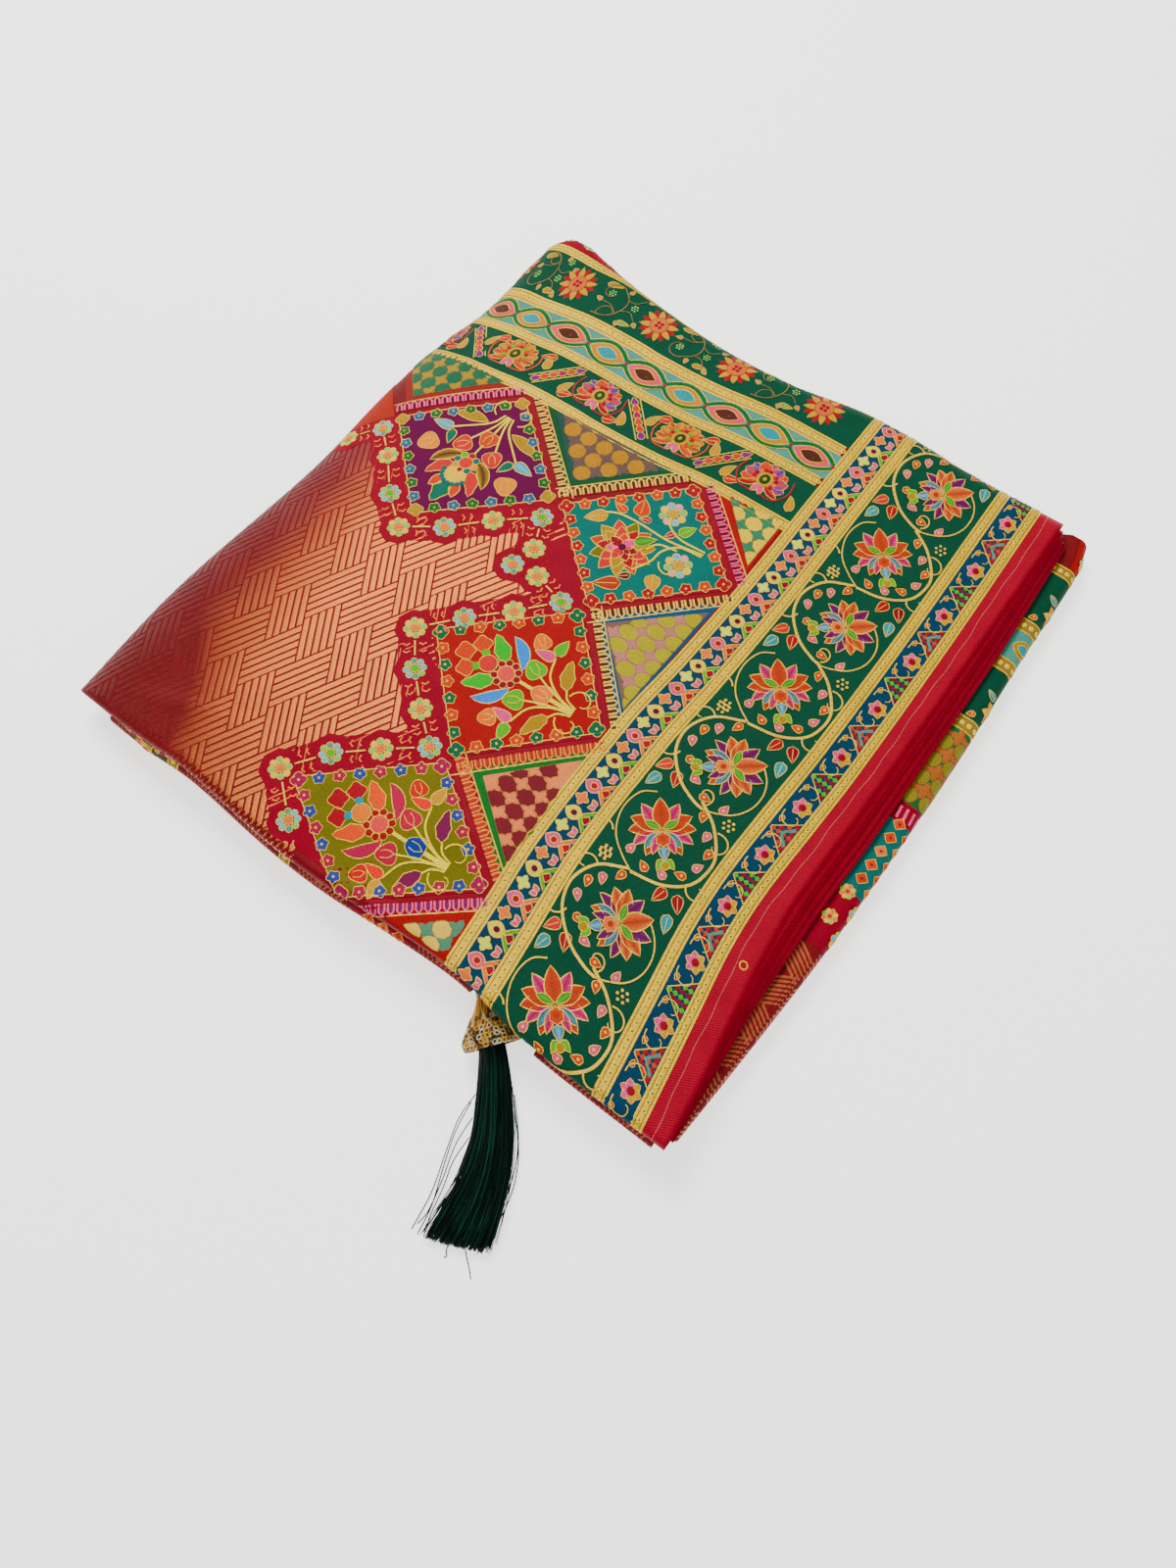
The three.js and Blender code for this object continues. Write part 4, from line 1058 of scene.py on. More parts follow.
def feather(pen, x0, r0, x1, r1):
    """A slanting plume of jagged colour blocks with a gold quill."""
    start, end = np.array([x0, r0], float), np.array([x1, r1], float)
    run = end - start
    turn = math.degrees(math.atan2(run[1], run[0]))
    tones = [VIOLET, CORAL, ORANGE, MAGENTA, ORANGE, VIOLET]
    for k, tint in enumerate(tones):
        spot = start + run * k / len(tones)
        pen.petal(*spot, turn, 5.8, 3.3, tint, "tear", rim_width=0.35, steps=6)
    side = np.array([run[1], -run[0]]) / np.linalg.norm(run)
    for offset in (2.6, -2.6):
        pen.line([start + side * offset, end + side * offset], 0.5, CREAM)


def draw_floral_band(pen):
    cross_ground(pen, 76.0, 99.2, 9, DEEP_GREEN)
    warm = ([YELLOW, RED], [ORANGE, LIME, RED])
    cool = ([ORANGE, BLUE, ORANGE], [RED, PEACH, CRIMSON])
    for k, x in enumerate((-159, -115.5, -69, -26, 16)):
        outer, inner = warm if k % 2 else cool
        band_flower(pen, x, 89.6, outer, inner)
        for hand in (1, -1):
            leaf(pen, x + hand * 15, 91.5 if k % 2 else 84, 90 + hand * 18, MUSTARD, 9, 4.0,
                 bend=hand * 40, core=YELLOW, vein=None)
    for k, x in enumerate((-137, -92, -47.5, -5)):
        hand = 1 if k % 2 else -1
        feather(pen, x - hand * 8.5, 79, x + hand * 8, 97)
        leaf(pen, x - hand * 9.5, 95, 200, RED, 7.4, 4.6, core=CORAL)
        leaf(pen, x + hand * 9.5, 80.4, 20, RED, 7.4, 4.6, core=CORAL)


def draw_cross_bands(kit):
    pen = Pen(kit, cross_warp)
    draw_sunflower_band(pen)
    draw_eye_chain(pen)
    draw_floral_band(pen)
    for r, width in ((148.4, 4.2), (120.9, 5.6), (101.6, 5.4), (73.3, 5.8)):
        gold_band(pen, lambda s, o, m=r: np.array([s, m + o]), width, CROSS_LEFT, cross_right(r))
    draw_spine_band(pen)


def draw_spine_band(pen):
    """The next stretch of the end piece, which turns down over the spine."""
    columns = np.linspace(CROSS_LEFT, cross_right(160), 80)
    patch(pen, np.stack(np.meshgrid(columns, np.linspace(150.3, 167, 7)), -1), CRIMSON)
    middle = 158.2
    for k, x in enumerate(np.arange(-160, 30, 15.2)):
        heart = PEACH if k % 2 else LIME
        rosette(pen, x, middle, [CREAM, PALE_GREEN, PALE_BLUE, PALE_GREEN], heart, 4.9)
        pen.line([(x + 5.4, middle), (x + 9.8, middle)], 0.6, CREAM)


# ---------------------------------------------------------------- tiles

TILE_PURPLE = [(-139, 27.5), (-94, 68.7), (-48.7, 31), (-95.5, -13)]
TILE_TEAL = [(-48.7, 31), (-5, 75), (36.5, 40), (-7.5, -4.5)]
TILE_FLAME = [(-53, -48.5), (-7.5, -4.5), (33.7, -45), (-10, -90)]
TILE_OLIVE = [(-57, -132), (-10, -90), (36.5, -122), (-9, -160)]
TILE_LEFT = [(-175, -6), (-175, 61), (-139, 27.5), (-139, 27.5)]
ROSETTE_WALK = [(-165, -4), (-152, 7.5), (-139, 19), (-125.5, 7.5), (-110.5, -8), (-95.5, -19.5),
                (-79.5, -8), (-65, 7), (-49, 20.5), (-42, 6), (-44.5, -5.5), (-32.5, -4), (-17, -8),
                (-30, -23), (-44.5, -37.5), (-58, -53), (-46, -67.5), (-32.5, -80), (-19, -90.5),
                (-34, -102.5), (-49, -115.5), (-61, -132), (-44, -146)]


# Red ground between the rosettes and the tiles.
RED_GAPS = [
    [(-56, 12), (-49, 31), (-10, -2), (-30, -12)],
    [(-62, -128), (-54, -126), (-9, -159.4), (-36, -159.4)],
    [(-53, -60), (-53, -44), (-12, -86), (-20, -94)],
]


def inset_corners(corners, part):
    """The corners drawn in to a part of their distance from the middle."""
    points = np.array(corners, float)
    middle = points.mean(0)
    return middle + (points - middle) * part


TILE_FLORETS = 7  # along each side of a tile


def tile_row(pen, corners, tones, centre_tint):
    """Small scalloped florets along the inside of a tile's edge."""
    ring = inset_corners(corners, 0.89)
    for k in range(4):
        for j in range(TILE_FLORETS):
            x, y = lerp(ring[k], ring[(k + 1) % 4], j / TILE_FLORETS)
            if j:
                tint, radius, lobes, depth, phase = tones[j % 2], 2.5, 5, 0.14, k + j
            else:
                tint, radius, lobes, depth, phase = tones[2], 3.1, 4, 0.12, 0.78
            pen.disc(x, y, radius, tint, lobes=lobes, depth=depth, around=20, phase=phase,
                     rim=CREAM, rim_width=0.3)
            pen.disc(x, y, 0.6, centre_tint, "thread", around=6, base=DETAIL)


def tile_field(pen, corners, ground):
    patch(pen, bilinear(corners, 24, 24), CRIMSON)
    patch(pen, bilinear(inset_corners(corners, 0.93), 24, 24), ground, base=GROUND + 0.05)
    edge = inset_corners(corners, 0.945)
    for k in range(4):
        path = lerp(edge[k], edge[(k + 1) % 4], np.linspace(0, 1, 16)[:, None])
        pen.line(path, 0.45, CREAM, base=GROUND + 0.1)


# Of a comb strip, out from its tile: where its ground lies, and its cream edge.
COMB_FROM, COMB_TO, COMB_REACH = 1.6, 6.8, 7.0
COMB_PITCH = 3.5
COMB_LAP, EDGE_WIDTH = 3.6, 1.2  # of a half tile's coloured edge, under a comb and elsewhere


def comb_strip(pen, start, end, tooth, web):
    """Arched teeth on red along a tile's outer edge, to the left of the run."""
    start, end = np.array(start, float), np.array(end, float)
    length = np.linalg.norm(end - start)
    run = (end - start) / length
    out = np.array([-run[1], run[0]])
    t = np.linspace(0, length, int(length / 2.4))[:, None]
    rows = [start + run * t + out * away for away in np.linspace(COMB_FROM, COMB_TO, 4)]
    patch(pen, np.stack(rows), CRIMSON, base=GROUND + 0.02)
    for s in np.arange(2.4, length - 2, COMB_PITCH):
        foot = start + run * s + out * 2.2
        left, right = foot - run * 1.1, foot + run * 1.1
        arch = [left, left + out * 3.0, foot + out * 4.5, right + out * 3.0, right]
        pen.line(arch, 0.85, tooth, base=FILL)
        pen.line([foot + out * 0.2, foot + out * 3.2], 1.2, web, layer="fill", base=FILL - 0.02)
    edge = [start + run * s + out * COMB_REACH for s in np.linspace(0, length, 14)]
    pen.line(edge, 0.5, CREAM, base=GROUND + 0.1)


def in_triangle(point, corners):
    signs = []
    for k in range(3):
        a, b = np.array(corners[k]), np.array(corners[(k + 1) % 3])
        signs.append(crossed(b - a, point - a))
    return min(signs) > 0 or max(signs) < 0


def drawn_in(corners, gaps):
    """A triangle with each side moved in by its gap; the first side joins the first two corners."""
    corners = np.array(corners, float)
    middle = corners.mean(0)
    normals, levels = [], []
    for k in range(3):
        run = corners[(k + 1) % 3] - corners[k]
        normal = np.array([-run[1], run[0]]) / np.linalg.norm(run)
        normal *= np.sign((middle - corners[k]) @ normal)
        normals.append(normal)
        levels.append(corners[k] @ normal + gaps[k])
    pairs = [([normals[k - 1], normals[k]], [levels[k - 1], levels[k]]) for k in range(3)]
    return [np.linalg.solve(*pair) for pair in pairs]


def half_tile(pen, corners, tints, step, size, tall, offset=(0, 0), both=True):
    """A three-cornered field of ovals and stars inside a coloured edge.

    The tints are those of the edge, the ground, the stars and the ovals. The first side, and the
    last one unless both is off, lie under a comb strip.
    """
    edge, ground, star, oval = tints
    a, b, c = (np.array(p, float) for p in corners)
    patch(pen, bilinear([a, b, c, c], 20, 12), edge, base=GROUND + 0.03)
    inner = drawn_in(corners, (COMB_LAP, EDGE_WIDTH, COMB_LAP if both else EDGE_WIDTH))
    patch(pen, bilinear([*inner, inner[2]], 20, 12), ground, base=GROUND + 0.07)
    step = np.array(step)
    for i in range(-6, 7):
        for j in range(-7, 8):
            spot = (a + b + c) / 3 + offset + step * [i, j]
            if in_triangle(spot, inner):
                pen.disc(*spot, size * 1.07, oval, around=18, tall=tall, rim=DARK_GOLD,
                         rim_width=0.3, within=inner)
            spot = spot + step / 2
            if in_triangle(spot, inner):
                pen.disc(*spot, size * 0.95, star, lobes=4, depth=0.34, around=16, tall=tall,
                         base=FILL - 0.03, within=inner)


def bud(pen, x, y, radius, tint, turn=0.0):
    """A round bud with three soft lobes and two veins, its tip along the turn."""
    at = pen.at(x, y, turn=turn)
    at.disc(0, 0, radius, tint, lobes=3, depth=0.11, around=24, rim=CREAM)
    for hand in (1, -1):
        vein = np.array([(-0.7, 0), (-0.1, 0.34 * hand), (0.6, 0.3 * hand)]) * radius
        at.line(smooth_path(vein, 3), 0.34, CREAM)


BOLD_RIM = 0.42  # the cream edge of the bouquets' petals


def bouquet_sideways(pen, x, y, p):
    """A lily with buds on tied stems, lying on its side: p names its colours."""
    b = pen.at(x, y, turn=4)
    for hand in (1, -1):
        half = b.at(0, 0, flip=hand)
        half.line(smooth_path([(32, 0.9), (24, 2.6), (16, 8), (13, 16.4)], 6), 0.9, PALE_GOLD)
        half.line(smooth_path([(32, 1.8), (27, 3.6), (24.6, 7)], 5), 0.8, PALE_GOLD)
        half.line(smooth_path([(31, 0.4), (20, 3.2), (12, 6.2)], 5), 0.8, PALE_GOLD)
        half.petal(4.6, 4.4, 134, 17, 5.2, p["crescent"], "spear", bend=62, rim_width=BOLD_RIM)
        half.petal(-3, 4.2, 140, 13.6, 6.4, p["wing"], "feather", bend=12, rim_width=BOLD_RIM)
        half.disc(-15.6, 6.2, 3.7, p["tip"], lobes=4, depth=0.14, around=20, phase=0.78, rim=CREAM)
        half.disc(-12.2, 3.4, 1.9, p["spark"], "detail", around=8)
        bud(half, 9.0, 7.8, 4.3, p["bud"], turn=150)
        half.petal(24.6, 6.6, 112, 13.6, 5.6, p["long"], "feather", bend=-20, rim_width=BOLD_RIM)
        half.petal(13.2, 16.2, 186, 9.4, 4.6, p["side"], "tear", rim_width=BOLD_RIM)
        half.petal(12.4, 17.6, 84, 8.6, 5.0, p["leaf"], "tear", rim_width=BOLD_RIM)
        bud(half, 4.4, 19.8, 3.6, p["fruit"], turn=140)
        curl(half, 27, 5.4, 70, 5.4, PALE_GOLD, hand=-1)
    b.disc(-19.8, 0, 3.9, p["tip"], lobes=4, depth=0.14, around=20, phase=0.78, rim=CREAM)
    b.line([(21, 0), (32, 0)], 1.8, PALE_GOLD)
    b.line([(6.6, 0), (13, 0)], 1.5, PALE_GOLD)
    for angle in ring_of(10):
        b.disc(*on_ring(0, 0, 5.0, angle), 1.6, p["ring"], around=8, rim=CREAM, rim_width=0.3)
    b.disc(0, 0, 3.6, p["heart"], "detail", around=14, rim=CREAM, rim_width=0.4, puff=0.2)
    b.disc(-8.8, 0, 3.9, p["cup"], "detail", around=14, rim=CREAM, rim_width=0.4, puff=0.2)
    bud(b, 17.2, 0, 4.3, p["star"], turn=180)


def bouquet_hanging(pen, x, y):
    """A drooping flower between paired buds and leaves, tied at the top."""
    b = pen.at(x, y)
    for hand in (1, -1):
        half = b.at(0, 0, turn=90).at(0, 0, flip=hand)
        half.line(smooth_path([(31, -0.8), (23, -2.4), (12, -7)], 6), 0.9, PALE_GOLD)
        half.line(smooth_path([(31, -2.2), (24, -5), (16, -14), (12.6, -18)], 6), 0.9, PALE_GOLD)
        half.petal(24, -6.6, -104, 16.6, 5.8, MUSTARD, "spear", bend=-24, rim_width=BOLD_RIM)
        half.petal(12.6, -17.4, -97, 10.4, 5.2, CYAN, "tear", core=PALE_BLUE, rim_width=BOLD_RIM)
        half.petal(12.0, -16.8, 160, 8.4, 4.2, GRASS, "tear", core=TEAL, rim_width=BOLD_RIM)
        bud(half, 8.1, -8.1, 4.3, CORAL, turn=-140)
        bud(half, 0.4, -21.6, 4.7, (222, 170, 84), turn=-150)
        half.petal(3.6, -3, -134, 16.6, 5.4, MUSTARD, "spear", bend=-58, core=BROWN,
                   rim_width=BOLD_RIM)
        half.petal(-2.6, -4.6, -146, 13.4, 5.8, CORAL, "feather", bend=-30, rim_width=BOLD_RIM)
        half.petal(-10.6, -3.6, -160, 8.0, 5.0, ORANGE, rim_width=BOLD_RIM)
        curl(half, 29, -6, -60, 5.2, PALE_GOLD)
    b.petal(0, -12, 270, 12.6, 7.6, GRASS, "feather", core=TEAL, rim_width=BOLD_RIM)
    b.line([(0, 31), (0, 20)], 1.0, PALE_GOLD)
    b.line([(0, 12), (0, 5)], 0.9, PALE_GOLD)
    bud(b, 0, 16, 4.4, ORANGE, turn=-90)
    b.disc(0, -7.4, 5.2, (226, 206, 96), tall=0.95, around=16, rim=CREAM, base=FILL + 0.1, puff=0.2)
    tints = (YELLOW, TEAL, RED, LIME, TEAL, YELLOW, CRIMSON, TEAL)
    for angle, tint in zip(ring_of(8), tints):
        b.disc(*on_ring(0, 0, 4.6, angle), 1.7, tint, "detail", around=8, rim=CREAM, rim_width=0.3)
        below = (-6.0 * math.cos(angle / 2), -7.4 - 5.6 * math.sin(angle / 2))
        b.disc(*below, 1.3, TEAL, "detail", around=7)
    b.disc(0, 0, 3.2, CORAL, "detail", around=14, rim=CREAM, base=DETAIL + 0.08, puff=0.16)


# Rings of petals: count, length, width, how far over the others, tones.
PEONY_RINGS = [
    (11, 14.2, 7.8, 0.0, (CORAL, MUSTARD, ORANGE, OLIVE)),
    (9, 10.8, 6.4, 0.1, (CORAL, MUSTARD, RED)), (7, 7.2, 5.0, 0.2, (CRIMSON, PINK, CORAL)),
]
PEONY_STEMS = [
    [(32, 18), (16, 15), (2, 15), (-8, 14), (-14, 11)],
    [(32, 19.4), (20, 18.6), (12, 22), (10, 27)],
    [(32, 16.8), (22, 15), (17, 9), (16, 2), (12, -6)], [(22, 13), (14, 11), (11, 6)],
]
# Place, turn, tint, length and width of each leaf.
PEONY_LEAVES = [
    (-16, 7, 225, YELLOW, 10.5, 6), (-2.4, 22.4, 110, ORANGE, 9.4, 7), (20, 24, 60, LIME, 8.4, 5),
    (7.4, -17.4, 215, RUST, 12, 6.4), (23, -6.4, 300, YELLOW, 9, 6.6),
    (-10, 17, 170, ORANGE, 7, 4), (15, 17.6, 240, MAGENTA, 6, 3.2),
    (11, -10.4, 220, PLUM, 6, 3.4), (2, 18, 200, MAGENTA, 5.6, 3),
]


def bouquet_peony(pen, x, y):
    """A many-petalled flower with a branch of buds and two daisies."""
    b = pen.at(x, y)
    for count, length, width, over, tones in PEONY_RINGS:
        for k in range(count):
            b.petal(2.4, 0.6, 360 * k / count + 60 * over, length, width, tones[k % len(tones)],
                    over=over + 0.03 * (k % 2), rim_width=BOLD_RIM)
    b.disc(2.4, 0.6, 1.7, PLUM, around=8, base=FILL + 0.36)
    b.petal(5, 5.6, 44, 10, 4.8, GRASS, "tear", core=LIME, over=0.34)
    for stem in PEONY_STEMS:
        b.line(smooth_path(stem, 6), 0.9, PALE_GOLD)
    daisy = [CREAM, PALE_GREEN, (228, 196, 196), PALE_BLUE]
    rosette(b, 10, 27.4, daisy, YELLOW, radius=6.6)
    rosette(b, 26.6, 7.4, daisy, YELLOW, radius=6.6)
    for row in PEONY_LEAVES:
        leaf(b, *row)
    curl(b, 19, 4, 300, 5.2, PALE_GOLD)


def rosette_ground(pen, walk):
    """The red ground of the walk, a little over its gaps and under its rounds."""
    for corners in RED_GAPS:
        patch(pen, bilinear(corners, 10, 10), CRIMSON, base=GROUND - 0.05)
    stretches = [lerp(a, b, np.linspace(0, 1, 6)[:-1, None]) for a, b in zip(walk[:-1], walk[1:])]
    path = np.concatenate([*stretches, walk[-1:]])
    for a, b in zip(path[:-1], path[1:]):
        run = (b - a) / np.linalg.norm(b - a)
        side = np.array([-run[1], run[0]]) * 7.0
        grid = [np.linspace(p - side, p + side, 5) for p in (a - run * 0.4, b + run * 0.4)]
        patch(pen, np.stack(grid), CRIMSON, base=GROUND - 0.03)
    for x, y in walk:
        pen.disc(x, y, 8.4, CRIMSON, "ground", lobes=8, depth=0.04, around=24,
                 base=GROUND - 0.01, puff=0.0)


def rosette_link(pen, a, b):
    """A thread from one rosette to the next, with two pairs of hooks."""
    length = np.linalg.norm(b - a)
    if length < 13:
        return
    run = (b - a) / length
    out = np.array([-run[1], run[0]])
    pen.line([a + run * 6, b - run * 6], 0.7, CREAM)
    for side in (out * -1, out):
        for s in (-2.2, 1.2):
            spot = (a + b) / 2 + run * s + side * 3.4
            pen.line([spot - side * 1.5, spot + run * 0.9, spot + side * 1.5], 0.75, PEACH)


def draw_rosette_strip(pen):
    walk = np.array(ROSETTE_WALK, float)
    rosette_ground(pen, walk)
    cool, warm = [PALE_GREEN, PALE_BLUE, PALE_BLUE, (120, 170, 150)], [CREAM, PALE_GREEN]
    for k, (x, y) in enumerate(walk):
        heart = LIME if k % 4 == 0 else PEACH
        rosette(pen, x, y, warm if k % 2 else cool, heart, radius=5.3)
    for a, b in zip(walk[:-1], walk[1:]):
        rosette_link(pen, a, b)


# Three corners; tints of edge, ground, stars and ovals; step, size and height of the ovals; where
# their grid starts; whether both sides lie under combs.
HALF_TILES = [
    ([(-50.3, 38.5), (-86, 71.4), (-12, 75.6)],
     ((20, 92, 50), (44, 92, 82), GREY_BROWN, (198, 152, 50)), (8.6, 8.2), 3.7, 1.0, (0, 4)),
    ([(-139, 36), (-175, 71), (-102, 71)],
     ((170, 50, 30), (180, 60, 30), MUSTARD, (30, 120, 80)), (8.8, 8.4), 3.9, 1.05),
    ([(36, 47), (3.5, 78), (36, 83)],
     (FLAME, FLAME, (70, 150, 110), (222, 205, 130)), (8.8, 7.6), 4.0, 0.9, (0, 3), False),
    ([(-1.5, -5), (36, 31), (33.5, -38)],
     ((6, 100, 140), (150, 110, 90), ROSE_BEIGE, (190, 176, 44)), (9.0, 7.0), 4.2, 0.8, (0, 1)),
    ([(0, -88), (33.4, -53), (36.5, -116)],
     ((34, 130, 40), (214, 160, 118), (226, 178, 134), (150, 30, 36)), (9.0, 7.2), 4.2, 0.78,
     (1, 1)),
    ([(37.5, -129), (10, -153), (39.5, -153)],
     (FLAME, FLAME, (110, 160, 130), (222, 205, 150)), (8.8, 7.2), 3.8, 0.9, (2, 1), False),
]
# Corners; ground; the florets' two tones and the tone of those at the corners; their middles.
TILES = [
    (TILE_PURPLE, PURPLE, (GRASS, (40, 130, 170), MUSTARD), YELLOW),
    (TILE_TEAL, TEAL, (RED, ORANGE, RED), CREAM),
    (TILE_FLAME, FLAME, (ORANGE, (10, 120, 80), (10, 120, 80)), CREAM),
    (TILE_OLIVE, OLIVE, ((200, 40, 90), (50, 100, 180), MAGENTA), CREAM),
]
# Tile, the corner a comb starts from, and the tints of its teeth and of what is inside them.
COMBS = [
    (TILE_PURPLE, 0, (226, 150, 170), PLUM), (TILE_PURPLE, 1, CREAM, BROWN),
    (TILE_TEAL, 0, CREAM, BROWN), (TILE_TEAL, 1, (230, 150, 170), PLUM),
    (TILE_TEAL, 2, CREAM, BROWN), (TILE_FLAME, 1, CREAM, BROWN),
    (TILE_FLAME, 2, (240, 190, 140), (200, 80, 40)),
    (TILE_OLIVE, 1, (240, 190, 140), (200, 80, 40)),
    (TILE_OLIVE, 2, (232, 160, 180), (150, 50, 120)),
]
COOL_LILY = dict(
    crescent=(90, 170, 215), wing=(50, 190, 60), tip=ORANGE, bud=LIME, long=MUSTARD, side=PINK,
    leaf=LIME, fruit=(238, 170, 80), ring=CRIMSON, heart=SALMON, cup=CORAL, spark=LIME, star=PEACH)
WARM_LILY = dict(
    crescent=(205, 60, 90), wing=(232, 130, 20), tip=RED, bud=(210, 40, 80), long=(150, 30, 90),
    side=(232, 100, 20), leaf=YELLOW, fruit=(220, 70, 40), ring=FLAME, heart=SALMON,
    cup=(240, 190, 110), spark=CYAN, star=BLUE)


def draw_tiles(kit):
    pen = Pen(kit)
    draw_rosette_strip(pen)
    for row in HALF_TILES:
        half_tile(pen, *row)
    for corners, ground, tones, spark in TILES:
        tile_field(pen, corners, ground)
        tile_row(pen, corners, tones, spark)
    patch(pen, bilinear(TILE_LEFT, 14, 14), (190, 60, 10), base=GROUND + 0.03)
    for corners, k, tooth, web in COMBS:
        comb_strip(pen, corners[k], corners[k + 1], tooth, web)
    bouquet_hanging(pen, -93.6, 23.6)
    bouquet_peony(pen, -15, 28)
    bouquet_sideways(pen, -14.6, -47.6, COOL_LILY)
    bouquet_sideways(pen, -14.2, -126.6, WARM_LILY)


# ---------------------------------------------------------------- the basket weave

WEAVE_PEAK = np.array([-105.5, -23.0])
WEAVE_DOWN, WEAVE_UP = np.array([9.0, -15.0]), np.array([8.0, 15.0])
WEAVE_STEEP, WEAVE_SLANT = np.array([10.2, -17.0]), np.array([-11.7, -22.0])
WEAVE_ROWS, WEAVE_COLUMNS, BLOCK_PITCH = range(-2, 5), range(-9, 8), np.array([17.0, 0])
STRIPES_A_BLOCK, STRIPE_FROM, STRIPE_TO, STRIPE_STEPS = 5, 0.15, 0.85, 9


def inside(points, polygon):
    """Which points lie in a polygon."""
    x, y = points[:, 0], points[:, 1]
    hit = np.zeros(len(points), bool)
    for (x0, y0), (x1, y1) in zip(polygon, np.roll(polygon, -1, 0)):
        crosses = (y0 > y) != (y1 > y)
        with np.errstate(divide="ignore", invalid="ignore"):
            hit ^= crosses & (x < (x1 - x0) * (y - y0) / (y1 - y0) + x0)
    return hit


def weave_sheen_and_shade(x, y):
    """Painted sheen, bright on the flat, and painted shade, a dull copper red, where the fold and
    the front fall away.
    """
    fold_shade = np.clip(ease(-x, 88, 142) + 0.85 * ease(-y, 90, 156) * ease(-x, 40, 120), 0, 1)
    return lerp(dye(ZARI_IN_SHEEN), dye(ZARI_IN_SHADE), fold_shade[..., None])


def draw_weave(sheaf, polygon):
    """Blocks of slanting stripes, each side by side with its mirror image."""
    for row in WEAVE_ROWS:
        for column in WEAVE_COLUMNS:
            peak = WEAVE_PEAK + row * (WEAVE_STEEP + WEAVE_SLANT) + BLOCK_PITCH * column
            blocks = (
                (peak - WEAVE_UP, WEAVE_UP, WEAVE_STEEP),
                (peak + WEAVE_STEEP, WEAVE_DOWN, WEAVE_SLANT),
            )
            for k in range(STRIPES_A_BLOCK):
                low, high = (k + STRIPE_FROM) / STRIPES_A_BLOCK, (k + STRIPE_TO) / STRIPES_A_BLOCK
                for root, across, run in blocks:
                    weave_stripe(sheaf, polygon, root + across * low, root + across * high, run)


def weave_stripe(sheaf, polygon, low, high, run):
    t = np.linspace(0.01, 0.985, STRIPE_STEPS)[:, None]
    middle = (low + high) / 2 + run * t
    if not inside(middle[[0, STRIPE_STEPS // 2, -1]], polygon).any():
        return
    places = np.stack([low + run * t, middle, high + run * t], 1).reshape(-1, 2)
    places[:, 0] = np.maximum(places[:, 0], LEFT_END + 1)
    places[:, 1] = np.clip(places[:, 1], LIP_END, SPINE_END)
    lifts = np.tile([STRIPE, STRIPE + 0.08, STRIPE], STRIPE_STEPS)
    faces = grid_faces(STRIPE_STEPS, 3)
    if crossed(high - low, run) < 0:
        faces = faces[:, ::-1]
    sheaf.add(places, lifts, faces.tolist(), weave_sheen_and_shade(places[:, 0], places[:, 1]))


# ---------------------------------------------------------------- cloth pieces


def selvedge_shift(u, flat_y):
    """How far a column of the cloth moves over to follow the selvedge's own line."""
    return (along(SELVEDGE, flat_y) - SELVEDGE_X) * ease(u, 20, SELVEDGE_X)


def top_grid():
    """Pattern places of the top stretch's grid: rows across, columns lengthwise."""
    flat = np.linspace(SELVEDGE_X, KNEE_X, 122)
    fold = KNEE_X - np.linspace(0, FOLD_LENGTH, 27)[1:]
    tuck = KNEE_X - FOLD_LENGTH - np.linspace(0, TUCK_LENGTH, 8)[1:]
    u = np.concatenate([flat, fold, tuck])[:, None]
    front, back, radius, turn = knees(u)
    lip = front - radius * turn * np.linspace(1, 0, 9)[:-1]
    middle = lerp(front, back, np.linspace(0, 1, 150))
    spine = back + np.linspace(0, SPINE_LENGTH, 16)[1:]
    y = np.concatenate([lip, middle, spine], 1)
    return u + selvedge_shift(u, np.clip(y, front, back)), y


def base_tint(x):
    """The red ground by its place across: brick on the fold, rose red at the selvedge."""
    red = lerp(dye(BRICK), dye(CRIMSON), ease(x, -60, 90)[..., None])
    red = lerp(red, dye(ROSE_RED), 0.6 * ease(x, 112, 122)[..., None])
    return red * (0.92 + 0.08 * np.cos(x / 17)[..., None])


def make_top():
    x, y = top_grid()
    inner = lifted(drape, x, y, np.full(x.shape, -CLOTH))
    piece = sheet_piece("top_stretch_cloth", drape(x, y), inner, base_tint(x),
                        np.stack([x, y], -1), BROCADE)
    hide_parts("top_stretch")
    return piece


def selvedge_surface(reach, root, edge, wave):
    """A loose selvedge: free runs from 0 at its root to 1 at its edge."""

    def surface(free, y):
        fan_y = np.clip(y, FAN[0][0], FAN[-1][0])
        fan = along(FAN, fan_y)
        flutter = 0.22 * np.sin(y / 21 + wave) * free
        drop = root + (edge - root) * free * lerp(0.45, 1, fan) + flutter
        u = lerp(SELVEDGE_ROOT_X, SELVEDGE_X + reach, free)
        front, back, _, _ = knees(u)
        points = drape(u + selvedge_shift(u, np.clip(y, front, back)), y, drop, fine=False)
        points[..., 0] -= reach * (1 - fan) * free
        return points

    return surface


def make_selvedges():
    made = []
    flat = np.linspace(SELVEDGE_FRONT, SPINE_BEND, 150)
    y = np.concatenate([flat, np.linspace(SPINE_BEND, SPINE_END, 14)[1:]])
    free, y = np.meshgrid(np.linspace(1, 0, 12), y, indexing="ij")
    # Painted light: each loose selvedge is made 1.15 times brighter against the shade it lies in,
    # with painted shade in a dark line along its outer edge.
    painted_light_and_edge_shade = 1.15 - 0.55 * ease(free, 0.93, 1)
    for name, reach, root, edge, wave in SELVEDGE_LAYERS:
        outer = selvedge_surface(reach, root, edge, wave)(free, y)
        inner = outer + [0, 0, -CLOTH * 0.8]
        tint = dye(ROSE_RED) * (painted_light_and_edge_shade * (1 + 0.1 * np.sin(wave)))[..., None]
        width = SELVEDGE_X + reach - SELVEDGE_ROOT_X
        piece = sheet_piece(name + "_cloth", outer, inner, tint, np.stack([free * width, y], -1),
                            SELVEDGE_CLOTH)
        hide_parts(name)
        made.append((piece, width))
    return made


